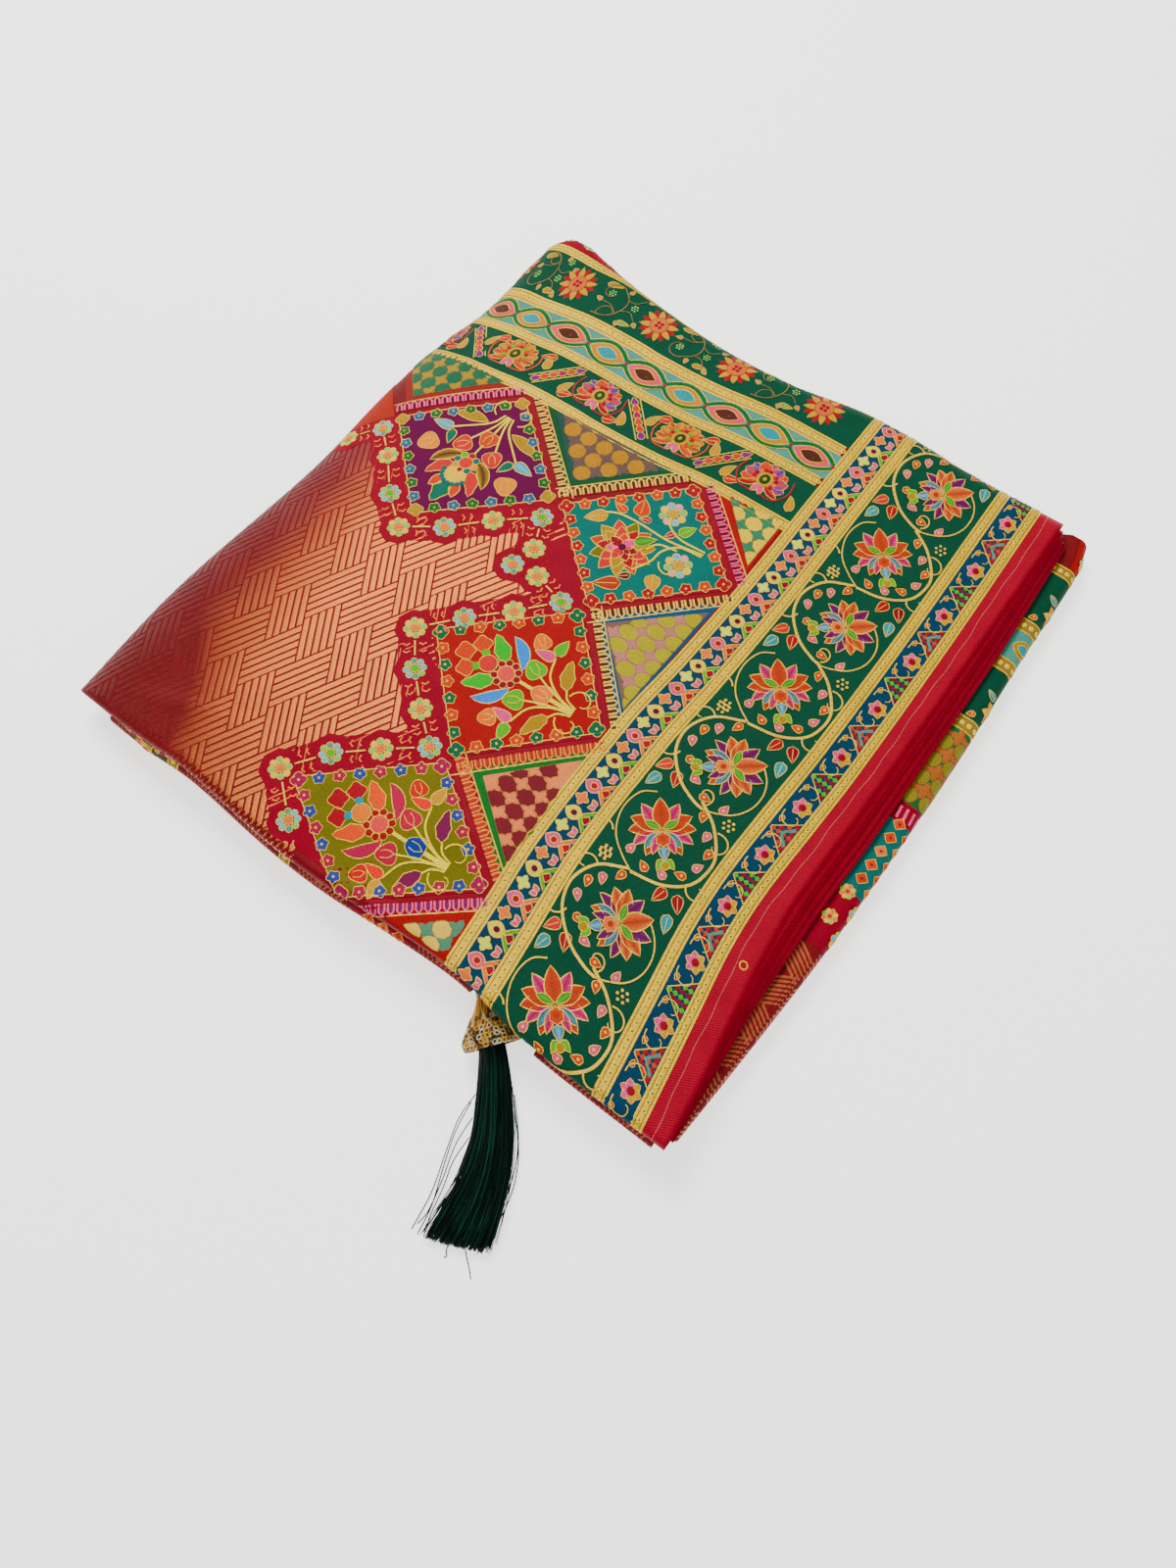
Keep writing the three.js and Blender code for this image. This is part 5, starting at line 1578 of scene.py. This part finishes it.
MID_SURFACE = fold_lay(from_right, LOWER_RADIUS)
LEFT_SURFACE = fold_lay(from_left, LOWER_RADIUS)
FRONT_SURFACE = fold_lay(from_front, LOWER_RADIUS)
INNER_SURFACE = fold_lay(from_inner_front, INNER_RADIUS)
LOWER_HALF = LOWER_RADIUS * math.pi / 2
INNER_HALF = INNER_RADIUS * math.pi / 2
STRIP_STEP = 2.2  # between rows of points along a fold strip


def strip_piece(name, node, surface, start, end, reach, tint):
    """A fold strip as a thin sheet. reach(at) gives how far its arc length runs each way."""
    at = np.linspace(start, end, int((end - start) / STRIP_STEP))
    low, high = reach(at)
    part = np.linspace(0, 1, 17)
    s = lerp(low[:, None], high[:, None], part)
    a = np.broadcast_to(at[:, None], s.shape)
    outer = surface(a, s)
    inner = lifted(surface, a, s, np.full(a.shape, -CLOTH))
    tints = np.broadcast_to(dye(tint), (*a.shape, 3))
    piece = sheet_piece(name, outer, inner, tints, np.stack([a, s], -1), BROCADE)
    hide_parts(node)
    return piece


ROUND_CORNER_AT, MID_END = 150.0, 163.5  # where the mid fold's arms begin to round off, and end


def even_reach(low, high):
    return lambda at: (np.full(at.shape, -float(low)), np.full(at.shape, float(high)))


def mid_reach(at):
    """The arms run in under the stack, and round off at the back corner."""
    past = np.maximum(at - ROUND_CORNER_AT, 0) / (MID_END - ROUND_CORNER_AT)
    corner = np.sqrt(np.clip(1 - past**2, 0, 1))
    arm = LOWER_HALF + 13.2 * corner
    return -arm, arm


# What shows round each fold: from, to, kind, ground and motif colours, along the side.
MID_PATTERN = [
    (-151, -62, "weave", BRICK), (-62, -36, "rosettes", CRIMSON), (-36, 0, "florets", TEAL),
    (0, 9, "comb", CRIMSON), (9, 50, "ovals", (40, 120, 60)), (50, 57, "gold", OLD_GOLD),
    (57, 84, "flowers", DEEP_GREEN), (84, 91, "gold", OLD_GOLD), (91, 106, "eyes", SKY),
    (106, 113, "gold", OLD_GOLD), (113, 140, "flowers", DEEP_GREEN), (140, 146, "gold", OLD_GOLD),
    (146, 163, "rosettes", FLAME),
]
FRONT_PATTERN = [
    (-141, -128, "weave", BRICK), (-128, -108, "flowers", (90, 84, 12)),
    (-108, -102, "gold", OLD_GOLD), (-102, -44, "weave", BRICK), (-44, -38, "gold", OLD_GOLD),
    (-38, -6, "weave", BRICK), (-6, 20, "florets", CRIMSON), (20, 50, "weave", BRICK),
]
FRONT_RIGHT_PATTERN = [(84, 138, "weave", BRICK)]
LEFT_PATTERN = [
    (-147, -112, "flowers", DEEP_GREEN), (-112, -106, "gold", OLD_GOLD),
    (-106, -70, "florets", TEAL), (-70, -64, "gold", OLD_GOLD), (-64, 143, "weave", BRICK),
]
INNER_PATTERN = [
    (-143, -132, "plain", BRICK), (-132, -96, "flowers", (110, 100, 14)),
    (-96, -90, "gold", OLD_GOLD), (-90, -58, "weave", BRICK), (-58, -30, "rosettes", CRIMSON),
    (-30, -2, "flowers", DEEP_GREEN), (-2, 4, "gold", OLD_GOLD), (4, 24, "ovals", (20, 100, 90)),
    (24, 30, "gold", OLD_GOLD), (30, 106, "florets", MAROON),
]


def draw_strip_pattern(zone, surface, pattern, reach):
    """The end piece's motifs again, where the hidden layers show at the folds."""
    kit = kit_for(zone, lay_on(surface))
    pen = Pen(kit)
    for start, end, kind, ground in pattern:
        width = reach if end < ROUND_CORNER_AT else LOWER_HALF - 0.2
        at = np.linspace(start, end, max(int((end - start) / STRIP_STEP), 3))
        s, a = np.meshgrid(np.linspace(-width, width, 19), at)
        patch(pen, np.stack([a, s], -1), ground, base=0.1)
        STRIP_MOTIFS[kind](pen, start, end, width)
    build_kit(kit)


def strip_weave(pen, start, end, reach):
    for k, at in enumerate(np.arange(start, end - 2, 2.1)):
        lean = 5.0 if (k // 7) % 2 else -5.0
        for s in np.arange(-reach + 0.4, reach - 3, 9.0):
            a0, a1 = at + 1 - lean / 2, at + 1 + lean / 2
            if min(a0, a1) < start or max(a0, a1) > end:
                continue
            t = np.linspace(0, 1, 6)[:, None]
            path = lerp(np.array([a0, s]), np.array([a1, s + 8.4]), t)
            pen.line(path, 1.1, (196, 116, 66), base=0.12)


def strip_rosettes(pen, start, end, reach):
    for k, at in enumerate(np.arange(start + 7, end - 4, 12.5)):
        rosette(pen, at, 0, [CREAM, PALE_GREEN, PALE_BLUE], PEACH if k % 2 else LIME, radius=4.8)
        for s in (-9.5, 9.5):
            if abs(s) < reach - 2:
                rosette(pen, at + 6, s, [PEACH, CREAM, PALE_GREEN], CORAL, radius=3.4)


def strip_florets(pen, start, end, reach):
    tones = (ORANGE, (225, 110, 60), PEACH)
    for i, at in enumerate(np.arange(start + 4, end - 2, 7.0)):
        for j, s in enumerate(np.arange(-reach + 3, reach - 2, 6.4)):
            x = at + (j % 2) * 3.4
            pen.disc(x, s, 2.3, tones[(i + j) % 3], lobes=4, depth=0.2, rim=CREAM, rim_width=0.35)
            pen.disc(x, s, 0.7, CRIMSON, "thread", around=6)


def strip_comb(pen, start, end, reach):
    for s in np.arange(-reach + 1, reach - 1, 3.0):
        pen.line([(start + 1.4, s), (end - 2.0, s + 0.6)], 1.2, (232, 160, 175), base=FILL)


def strip_ovals(pen, start, end, reach):
    for at in np.arange(start + 4, end - 3, 9.6):
        for s in np.arange(-reach + 3.6, reach - 3, 7.2):
            pen.disc(at, s, 3.6, (168, 152, 48), tall=0.8, rim=DARK_GOLD, rim_width=0.35)
            pen.disc(at + 4.8, s + 3.6, 3.2, (196, 124, 52), lobes=4, depth=0.34, around=16)


def strip_gold(pen, start, end, reach):
    middle = (start + end) / 2
    for s in np.arange(-reach + 1, reach, 3.3):
        pen.disc(middle, s, 1.2, PALE_GOLD, "thread", around=8, base=0.2, puff=0.16)
    for at in (start + 0.5, end - 0.5):
        pen.line([(at, s) for s in np.linspace(-reach, reach, 15)], 0.5, PALE_GOLD, base=0.2)


def strip_flowers(pen, start, end, reach):
    for i, at in enumerate(np.arange(start + 8, end - 5, 15.5)):
        for k in range(7):
            tint = (ORANGE, PINK, YELLOW)[k % 3] if i % 2 else (CORAL, YELLOW, CREAM)[k % 3]
            pen.petal(at, 0, 51.4 * k, 6.0, 3.6, tint, rim_width=0.4, steps=6)
        pen.disc(at, 0, 1.7, CRIMSON, "detail", around=8)
        for hand in (1, -1):
            leaf(pen, at + 7, hand * 5.4, 60 * hand, LIME if i % 2 else CYAN, 5.4, 3.0)
            seed(pen, at - 6, hand * 8.8, 120 * hand, ORANGE, CREAM, 4.0, 2.6)


def strip_eyes(pen, start, end, reach):
    middle = (start + end) / 2
    for k, s in enumerate(np.arange(-reach + 6, reach - 4, 12.5)):
        pen.petal(middle, s - 5.4, 90, 10.8, 8.2, MUSTARD if k % 2 else (230, 128, 130), "spear")
        pen.petal(middle, s - 3.2, 90, 6.4, 4.6, CYAN if k % 2 else BROWN, "spear", layer="detail")


def strip_plain(pen, start, end, reach):
    middle = (start + end) / 2
    pen.line([(middle, s) for s in np.linspace(-reach, reach, 13)], 0.6, PALE_GOLD, base=0.16)


STRIP_MOTIFS = {
    "weave": strip_weave, "rosettes": strip_rosettes, "florets": strip_florets, "comb": strip_comb,
    "ovals": strip_ovals, "gold": strip_gold, "flowers": strip_flowers, "eyes": strip_eyes,
    "plain": strip_plain,
}

# ---------------------------------------------------------------- hidden layers

# Height or part of the way to the top stretch, and the inset on each side of the outline.
CORE_LEVELS = [
    ("z", 0, 6, 9, 8, 6), ("z", 0.6, 4, 5.6, 5, 4.4), ("z", 0.95, 4.6, 6.2, 5.6, 4.9),
    ("z", 1.45, 3.4, 4, 4.2, 3.8), ("z", 1.5, 11.4, 19.4, 11.4, 3.7),
    ("z", 4, 11.4, 19.4, 11.4, 3.4), ("z", 4.1, 8.4, 8.4, 8.4, 3.2), ("z", 5.4, 6.2, 6.2, 7, 3),
    ("z", 6.8, 5.6, 5.6, 6.6, 2.6), ("z", 8.2, 6.2, 6.2, 7, 2.9), ("z", 9.5, 8.4, 8.4, 8.4, 3),
    ("z", 9.6, 11.4, 19.4, 11.4, 3.1), ("z", 11.75, 11.4, 19.4, 12.6, 3.6),
    ("z", 12.5, 6, 20, 13.4, 3.9), ("rise", 0, 4, 41.5, 13.4, 4),
    ("rise", 0.28, 3.2, 42, 13.4, 4.3), ("rise", 0.56, 4, 42.6, 13.2, 5.6),
    ("rise", 0.6, 3.6, 42, 6.4, 6.2), ("rise", 0.72, 4.4, 42.6, 7.2, 7.6),
    ("rise", 0.84, 4.4, 42.2, 6.6, 9.4), ("rise", 1, 9, 44, 9.5, 15),
]
FAR_APART = {"z": 0.9, "rise": 0.1}
CORE_SHELF_Z, CORE_COVER, CORE_CORNER_POWER, CORE_AROUND = 12.6, 1.4, 9, 180
CORE_TOP_SCALES = (0.86, 0.66, 0.44, 0.2)
CORE_NOTCH_FROM, CORE_NOTCH_TO, CORE_NOTCH_DEPTH = 100, 109, 13
CAD_WALL = 1.2
LAYER_PITCH, LAYER_RELIEF = 1.05, 0.32


def core_top(x, y):
    flat = top_height(x, y, fine=False)
    out = np.clip((KNEE_X - x) / (KNEE_X - along(LEFT_EDGE, y)), 0, 0.99)
    fallen = TIP_Z + (flat - TIP_Z) * np.sqrt(1 - out * out)
    return fallen - CAD_WALL * (1 + 0.5 * out) - CORE_COVER


def core_ring(level, scale):
    kind, height, left, right, front, back = level
    angle = np.linspace(0, 2 * math.pi, CORE_AROUND, endpoint=False)
    c, d = np.cos(angle), np.sin(angle)
    power = CORE_CORNER_POWER
    size = (np.abs(c) ** power + np.abs(d) ** power) ** (-1 / power)
    s, t = scale * c * size, scale * d * size
    y0 = lerp(FRONT_Y, BACK_Y, (t + 1) / 2)
    left_x = along(LOWER_LEFT_EDGE, np.clip(y0, -152, 140)) + left
    right_x = along(MID_FOLD_EDGE, np.clip(y0, -152, 150)) - right
    x = lerp(left_x, right_x, (s + 1) / 2)
    notch = CORE_NOTCH_DEPTH * ease(x, CORE_NOTCH_FROM, CORE_NOTCH_TO)
    y = lerp(along(FRONT_EDGE, x) + front, along(BACK_EDGE, x) - back - notch, (t + 1) / 2)
    z = height + 0 * x if kind == "z" else lerp(CORE_SHELF_Z, core_top(x, y), height)
    return np.stack([x, y, z], -1)


def core_levels():
    """The levels, with more between those far apart for the grooves of the cloth's own layers."""
    fine = []
    for low, high in zip(CORE_LEVELS[:-1], CORE_LEVELS[1:]):
        apart = low[0] == high[0] and high[1] - low[1] > FAR_APART[low[0]]
        for part in (0, 0.25, 0.5, 0.75) if apart else (0,):
            mixed = [lerp(a, b, part) for a, b in zip(low[1:], high[1:])]
            fine.append((low[0], *mixed))
    return fine + [CORE_LEVELS[-1]]


def make_core():
    rings = []
    for level in core_levels():
        ring = core_ring(level, 1)
        if level[0] == "rise" or level[1] > 1.5:
            groove = LAYER_RELIEF * (0.5 + 0.5 * np.cos(2 * math.pi * ring[:, 2] / LAYER_PITCH))
            inward = -ring[:, :2] / np.linalg.norm(ring[:, :2], axis=1, keepdims=True)
            ring[:, :2] += inward * groove[:, None]
        rings.append(ring)
    rings += [core_ring(CORE_LEVELS[-1], scale) for scale in CORE_TOP_SCALES]
    points = np.concatenate(rings)
    faces = ring_faces(len(rings), CORE_AROUND)
    turn = np.tile(np.linspace(0, 940, CORE_AROUND), len(rings))
    places = np.stack([turn, np.repeat(np.arange(len(rings)) * 3.0, CORE_AROUND)], 1)
    bands = 0.78 + 0.22 * np.cos(points[:, 2] / LAYER_PITCH * math.pi)
    tints = lerp(dye(MAROON), dye((150, 90, 40)), (0.5 + 0.5 * np.sin(points[:, 2] * 1.9))[:, None])
    piece = new_piece("hidden_layers", points, faces, tints * bands[:, None], places, HIDDEN)
    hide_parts("core_layers")
    return piece


def ring_faces(rings, around):
    """The side faces between rings of points, and a face over each end."""
    faces = []
    for low in range(0, (rings - 1) * around, around):
        high = low + around
        for i in range(around):
            n = (i + 1) % around
            faces.append([low + i, low + n, high + n, high + i])
    last = (rings - 1) * around
    return faces + [list(range(around))[::-1], list(range(last, last + around))]


# ---------------------------------------------------------------- tassel

# Stations from the head in the cap to the tips: x, y, z, half width, half height.
TASSEL_LINE = np.array([
    (62.9, -158.9, 9.1, 4.3, 3.1), (71.0, -166, 6.6, 5.2, 3.9), (81.4, -178.4, 4.8, 6.8, 3.4),
    (91.2, -192.6, 4.1, 8.4, 3), (98, -208.4, 3.5, 10.2, 2.5), (102.6, -229, 2.8, 12.4, 1.9),
])
CAP_APEX, CAP_BASE = np.array([56, -153.4, 10.3]), np.array([69.6, -164.4, 8.3])
CAP_RADIUS, CAP_SQUASH = 10.4, 0.72
CAP_PROFILE = [(-0.28, 0.1), (0.02, 0.13), (0.22, 0.3), (0.46, 0.58), (0.7, 0.86), (0.88, 1.0),
               (1.0, 0.96)]
STRAND_COUNT, STRAND_STEPS, STRAND_RADIUS = 900, 14, 0.19


def tassel_frame(t):
    """Middle, side direction and half sizes of the skirt at parts of its length."""
    rows = TASSEL_LINE
    spot = np.clip(np.asarray(t, float), 0, 1) * (len(rows) - 1)
    k = np.minimum(spot.astype(int), len(rows) - 2)
    f = (spot - k)[:, None]
    before, after = rows[np.maximum(k - 1, 0)], rows[np.minimum(k + 2, len(rows) - 1)]
    a, b = rows[k], rows[k + 1]
    row = through(before, a, b, after, f)
    run = (b - a)[:, :3]
    side = np.stack([-run[:, 1], run[:, 0], np.zeros(len(run))], 1)
    return row[:, :3], side / np.linalg.norm(side, axis=1, keepdims=True), row[:, 3], row[:, 4]


def tube_points(path, radius, sides, tall=1.0):
    """Rings of a thin tube along a path."""
    run = np.gradient(path, axis=0)
    run /= np.linalg.norm(run, axis=1, keepdims=True)
    side = np.cross(run, [0, 0, 1.0])
    side /= np.maximum(np.linalg.norm(side, axis=1, keepdims=True), 1e-6)
    up = np.cross(side, run)
    angle = np.linspace(0, 2 * math.pi, sides, endpoint=False)
    radius = np.asarray(radius) * np.ones(len(path))
    offsets = (side[:, None] * np.cos(angle)[None, :, None]
               + up[:, None] * np.sin(angle)[None, :, None] * tall) * radius[:, None, None]
    return (path[:, None] + offsets).reshape(-1, 3)


class Bundle:
    """Many small tubes and knots that become one mesh."""

    def __init__(self):
        self.points, self.faces, self.tints, self.places, self.count = [], [], [], [], 0

    def rings(self, points, count, around, tint, places):
        """Adds a closed skin over rings of points."""
        faces = ring_faces(count, around)
        self.faces.extend([[i + self.count for i in face] for face in faces])
        self.points.append(points)
        self.tints.append(np.broadcast_to(dye(tint), (len(points), 3)))
        self.places.append(places)
        self.count += len(points)

    def tube(self, path, radius, sides, tint, place=0.0, tall=1.0):
        """Adds a thread along a path; place is where its colours lie across the cloth."""
        points = tube_points(np.asarray(path, float), radius, sides, tall)
        steps = len(path)
        length = np.repeat(np.linspace(0, 60, steps), sides)
        across = place + np.tile(np.arange(sides) * 0.3, steps)
        self.rings(points, steps, sides, tint, np.stack([across, length], 1))

    def build(self, name, material, slot):
        return new_piece(name, np.concatenate(self.points), self.faces, np.concatenate(self.tints),
                         np.concatenate(self.places), material)


def skirt_path(rng, index):
    """One strand: it keeps its place in the bundle, wanders a little and ends raggedly."""
    golden = math.pi * (3 - math.sqrt(5))
    spot = math.sqrt((index + 0.5) / STRAND_COUNT) * 0.97
    across, high = spot * math.cos(index * golden), spot * math.sin(index * golden)
    end = 1.0 - 0.035 * abs(rng.normal()) - 0.03 * (1 + across)
    t = np.linspace(0.1, max(end, 0.84), STRAND_STEPS)
    middle, side, half_width, half_height = tassel_frame(t)
    sway = np.sin(t * rng.uniform(3, 8) + rng.uniform(0, 6)) * 0.1 + rng.normal() * 0.09 * t**3
    path = middle + side * ((across + sway * t) * half_width)[:, None]
    path[:, 2] += (high + rng.normal() * 0.12 * t) * half_height
    path[:, 2] = np.maximum(path[:, 2], 0.3)
    return path


# Loose threads beside the skirt, each as places from where it leaves to its tip.
STRAYS = [
    [(75.4, -182, 5), (75.6, -192, 3), (79, -204, 1.4), (83.6, -218, 0.6), (85.8, -231.6, 0.4)],
    [(75.9, -185, 5), (77.4, -196, 3), (81.4, -208, 1.4), (86.4, -221, 0.6), (88.6, -231.8, 0.4)],
    [(79.6, -189, 4), (80.4, -200, 2.4), (84, -212, 1.2), (86.6, -223, 0.5), (86.4, -229, 0.4)],
    [(83, -195, 4), (83.4, -205, 2.4), (86, -214, 1.2), (88.2, -224, 0.5), (90.8, -231, 0.4)],
    [(84.4, -171.6, 5), (91.6, -179, 3.5), (99, -187, 2), (104.2, -197, 1), (108, -210, 0.5)],
    [(86.9, -173.4, 5), (94.6, -181.4, 3.5), (102.2, -191, 2), (107, -201, 1), (110, -215, 0.5)],
    [(104, -224, 2), (107.4, -227, 1.2), (110, -229, 0.8), (111.6, -230.4, 0.5),
     (113, -231.8, 0.4)],
    [(98, -224, 2), (99.4, -227.6, 1.2), (100.4, -229.8, 0.8), (101.4, -231, 0.5),
     (101, -232, 0.4)],
]


def make_tassel_skirt():
    rng = np.random.default_rng(RANDOM_SEED)
    strands = Bundle()
    for index in range(STRAND_COUNT):
        # Strands differ in tone at random, and the few brightest stand for a painted sheen.
        light = 0.25 + 1.5 * rng.uniform() ** 2.4
        strands.tube(skirt_path(rng, index), STRAND_RADIUS, 3, np.array((10, 66, 50)) * light,
                     index * 1.7)
    for stray in STRAYS:
        strands.tube(smooth_path(stray, 6), 0.28, 3, (4, 34, 26))
    heart_at = np.linspace(0.02, 0.78, 12)
    middle, _, half_width, _ = tassel_frame(heart_at)
    strands.tube(middle, half_width * 0.55, 14, (4, 24, 18), tall=0.4)
    piece = strands.build("tassel_skirt_strands", TASSEL_SILK, "tassel_silk")
    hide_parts("tassel_skirt")
    return piece


def cap_axes():
    axis = CAP_BASE - CAP_APEX
    forward = axis / np.linalg.norm(axis)
    side = np.cross([0, 0, 1.0], forward)
    side /= np.linalg.norm(side)
    return axis, side, np.cross(forward, side)


def cap_point(part, angle, grow=0.0):
    axis, side, up = cap_axes()
    stations, radii = np.array(CAP_PROFILE).T
    radius = np.interp(part, stations, radii) * CAP_RADIUS + grow
    angle = np.asarray(angle, float)
    return (CAP_APEX + axis * np.asarray(part)[..., None]
            + side * (radius * np.cos(angle))[..., None]
            + up * (radius * np.sin(angle) * CAP_SQUASH)[..., None])


CAP_AROUND, CAP_CORDS = 42, 46
# Where the rows of rings lie, as parts of the way from the cap's apex to its base.
CAP_RING_ROWS = (0.42, 0.52, 0.62, 0.72, 0.81, 0.9, 0.98)
# Tones of the cap's rings; the near-white one is a painted glint.
CAP_TONES_AND_GLINT = [(226, 206, 156), (222, 196, 140), (224, 220, 206), (170, 130, 66), (120, 84, 36)]


def cap_shell(net):
    """The cap's own skin, from its apex over the rim and a little way back inside."""
    parts = [part for part, _ in CAP_PROFILE] + [0.97, 0.7, 0.46]
    inset = [-0.35] * len(CAP_PROFILE) + [-1.95] * 3
    angle = np.linspace(0, 2 * math.pi, CAP_AROUND, endpoint=False)
    rings = [cap_point(np.full(CAP_AROUND, p), angle, g) for p, g in zip(parts, inset)]
    rows = np.repeat(np.arange(len(rings)) * 3.0, CAP_AROUND)
    places = np.stack([np.tile(angle * 9, len(rings)), rows], 1)
    net.rings(np.concatenate(rings), len(rings), CAP_AROUND, (110, 80, 34), places)


def cap_cords(net):
    """Gathered cords from the apex down to the net of rings."""
    t = np.linspace(-0.22, 0.62, 9)
    for k in range(CAP_CORDS):
        turn = 2 * math.pi * k / CAP_CORDS + 0.16 * np.sin(t * 9 + k)
        tone = (226, 200, 146) if k % 3 else (156, 118, 60)
        net.tube(cap_point(t, turn, 0.05 + 0.25 * (k % 2)), 0.42, 5, tone, k * 2.0)


def cap_rings(net, rng):
    """Rows of small looped rings round the lower part of the cap."""
    twist = np.linspace(0, 2 * math.pi, 7)
    for row, part in enumerate(CAP_RING_ROWS):
        count = int(26 + row * 2.4)
        for k in range(count):
            turn = 2 * math.pi * (k + 0.5 * (row % 2)) / count + rng.uniform(-0.04, 0.04)
            tone = CAP_TONES_AND_GLINT[rng.integers(len(CAP_TONES_AND_GLINT))]
            loop = cap_point(part + 0.05 * np.sin(twist), turn + 0.1 * np.cos(twist),
                             0.3 + rng.uniform(0, 0.35))
            net.tube(loop, 0.36, 4, tone, row * 20 + k * 2.0)


def make_tassel_cap():
    net = Bundle()
    cap_shell(net)
    cap_cords(net)
    cap_rings(net, np.random.default_rng(RANDOM_SEED + 1))
    piece = net.build("tassel_cap_net", GOLD_THREAD, "zari_cap")
    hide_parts("tassel_cap")
    return piece


# ---------------------------------------------------------------- the whole scene


# How far the pattern goes round each way, where it isn't just the fold's own turn.
SHOWN_REACH = {"mid_fold": LOWER_HALF + 7.0, "inner_stretch": INNER_HALF + 2.0}


def make_strips():
    front_reach = even_reach(LOWER_HALF + 5.2, LOWER_HALF + 5.2)
    short_reach = even_reach(LOWER_HALF + 2.0, LOWER_HALF + 2.0)
    inner_reach = even_reach(INNER_HALF + 5.6, INNER_HALF + 8.2)
    plan = [
        ("mid_fold_cloth", "mid_fold", MID_SURFACE, -151.6, 163, mid_reach, MID_PATTERN, 40.8),
        ("lower_left_fold_cloth", "lower_left_fold", LEFT_SURFACE, -147, 143, front_reach,
         LEFT_PATTERN, 24.9),
        ("lower_front_fold_cloth", "lower_front_fold", FRONT_SURFACE, -141, 50, front_reach,
         FRONT_PATTERN, 24.9),
        ("lower_front_right_cloth", "lower_front_fold_right", FRONT_SURFACE, 84, 138, short_reach,
         FRONT_RIGHT_PATTERN, 18.4),
        ("inner_stretch_cloth", "inner_stretch", INNER_SURFACE, -143, 106, inner_reach,
         INNER_PATTERN, 19.8),
    ]
    made = []
    for name, node, surface, start, end, reach, pattern, width in plan:
        piece = strip_piece(name, node, surface, start, end, reach, BRICK)
        shown = SHOWN_REACH.get(node, LOWER_HALF - 0.2)
        draw_strip_pattern(name.replace("_cloth", ""), surface, pattern, shown)
        made.append((piece, width, end - start))
    return made


def make_top_patterns():
    for zone, draw in (("border", draw_border), ("cross", draw_cross_bands), ("tiles", draw_tiles)):
        kit = kit_for(zone, lay_on(drape))
        draw(kit)
        build_kit(kit)
    weave = Sheaf("basket_weave", lay_on(drape), ZARI_WEAVE, "top_cloth")
    edge = [(x + 3.5, y - 1) for x, y in ROSETTE_WALK]  # just under the rosettes' own ground
    field = [(-177, -8), *edge, (-30, -162), (-177, -162)]
    draw_weave(weave, np.array(field, float))
    weave.build()


def make_floor():
    mesh = bpy.data.meshes.new("floor")
    far = 25.0
    mesh.from_pydata([(-far, -far, 0), (far, -far, 0), (far, far, 0), (-far, far, 0)], [],
                     [(0, 1, 2, 3)])
    floor = placed("floor", mesh)
    material = bpy.data.materials.new("pale_floor")
    material.use_nodes = True
    tree = material.node_tree
    shader = tree.nodes["Principled BSDF"]
    noise = add_node(tree, "ShaderNodeTexNoise")
    set_inputs(noise, {"Scale": 3.0})
    ramp = add_node(tree, "ShaderNodeValToRGB")
    ramp.color_ramp.elements[0].color = (0.90, 0.90, 0.89, 1)
    ramp.color_ramp.elements[1].color = (0.95, 0.95, 0.94, 1)
    tree.links.new(noise.outputs["Fac"], ramp.inputs["Fac"])
    tree.links.new(ramp.outputs["Color"], shader.inputs["Base Color"])
    set_inputs(shader, {
        "Roughness": 0.9, "Specular IOR Level": 0.2, "Emission Color": (1, 1, 0.98, 1),
        "Emission Strength": 1.5,
    })
    mesh.materials.append(material)


def add_light(name, place, target, size, power, colour):
    data = bpy.data.lights.new(name, "AREA")
    data.shape = "DISK"
    data.size = size
    data.energy = power
    data.color = colour
    light = placed(name, data)
    light.location = place
    aim = Vector(target) - Vector(place)
    light.rotation_euler = aim.to_track_quat("-Z", "Y").to_euler()


def make_lights():
    add_light("key", (-0.6, 0.42, 1.1), (-0.05, 0, 0), 0.7, 22, (1.0, 0.98, 0.95))
    add_light("fill", (0.9, -0.6, 1.0), (0, 0, 0), 1.2, 4, (0.96, 0.98, 1.0))
    world = bpy.data.worlds.new("soft_room")
    bpy.context.scene.world = world
    world.use_nodes = True
    background = world.node_tree.nodes["Background"]
    set_inputs(background, {"Color": (0.93, 0.95, 1.0, 1), "Strength": 0.5})


CAMERA_TARGET = Vector((0.0408053, -0.0667213, 0.03))
CAMERA_AZIMUTH, CAMERA_ELEVATION = math.radians(36.8034), math.radians(67.9193)
CAMERA_DISTANCE = 0.433646
FOCAL_PIXELS, IMAGE_HEIGHT, SENSOR = 1150, 1600, 36.0


def make_camera():
    data = bpy.data.cameras.new("camera")
    data.sensor_width = SENSOR
    data.lens = FOCAL_PIXELS / IMAGE_HEIGHT * SENSOR
    data.clip_start = 0.01
    camera = placed("camera", data)
    back = Vector((
        math.sin(CAMERA_AZIMUTH) * math.cos(CAMERA_ELEVATION),
        -math.cos(CAMERA_AZIMUTH) * math.cos(CAMERA_ELEVATION),
        math.sin(CAMERA_ELEVATION),
    ))
    camera.location = CAMERA_TARGET + back * CAMERA_DISTANCE
    camera.rotation_mode = "QUATERNION"
    camera.rotation_quaternion = (-back).to_track_quat("-Z", "Y")
    bpy.context.scene.camera = camera


make_camera()
make_lights()
make_floor()
make_core()
top = make_top()
selvedges = make_selvedges()
strips = make_strips()
make_top_patterns()
make_tassel_skirt()
make_tassel_cap()
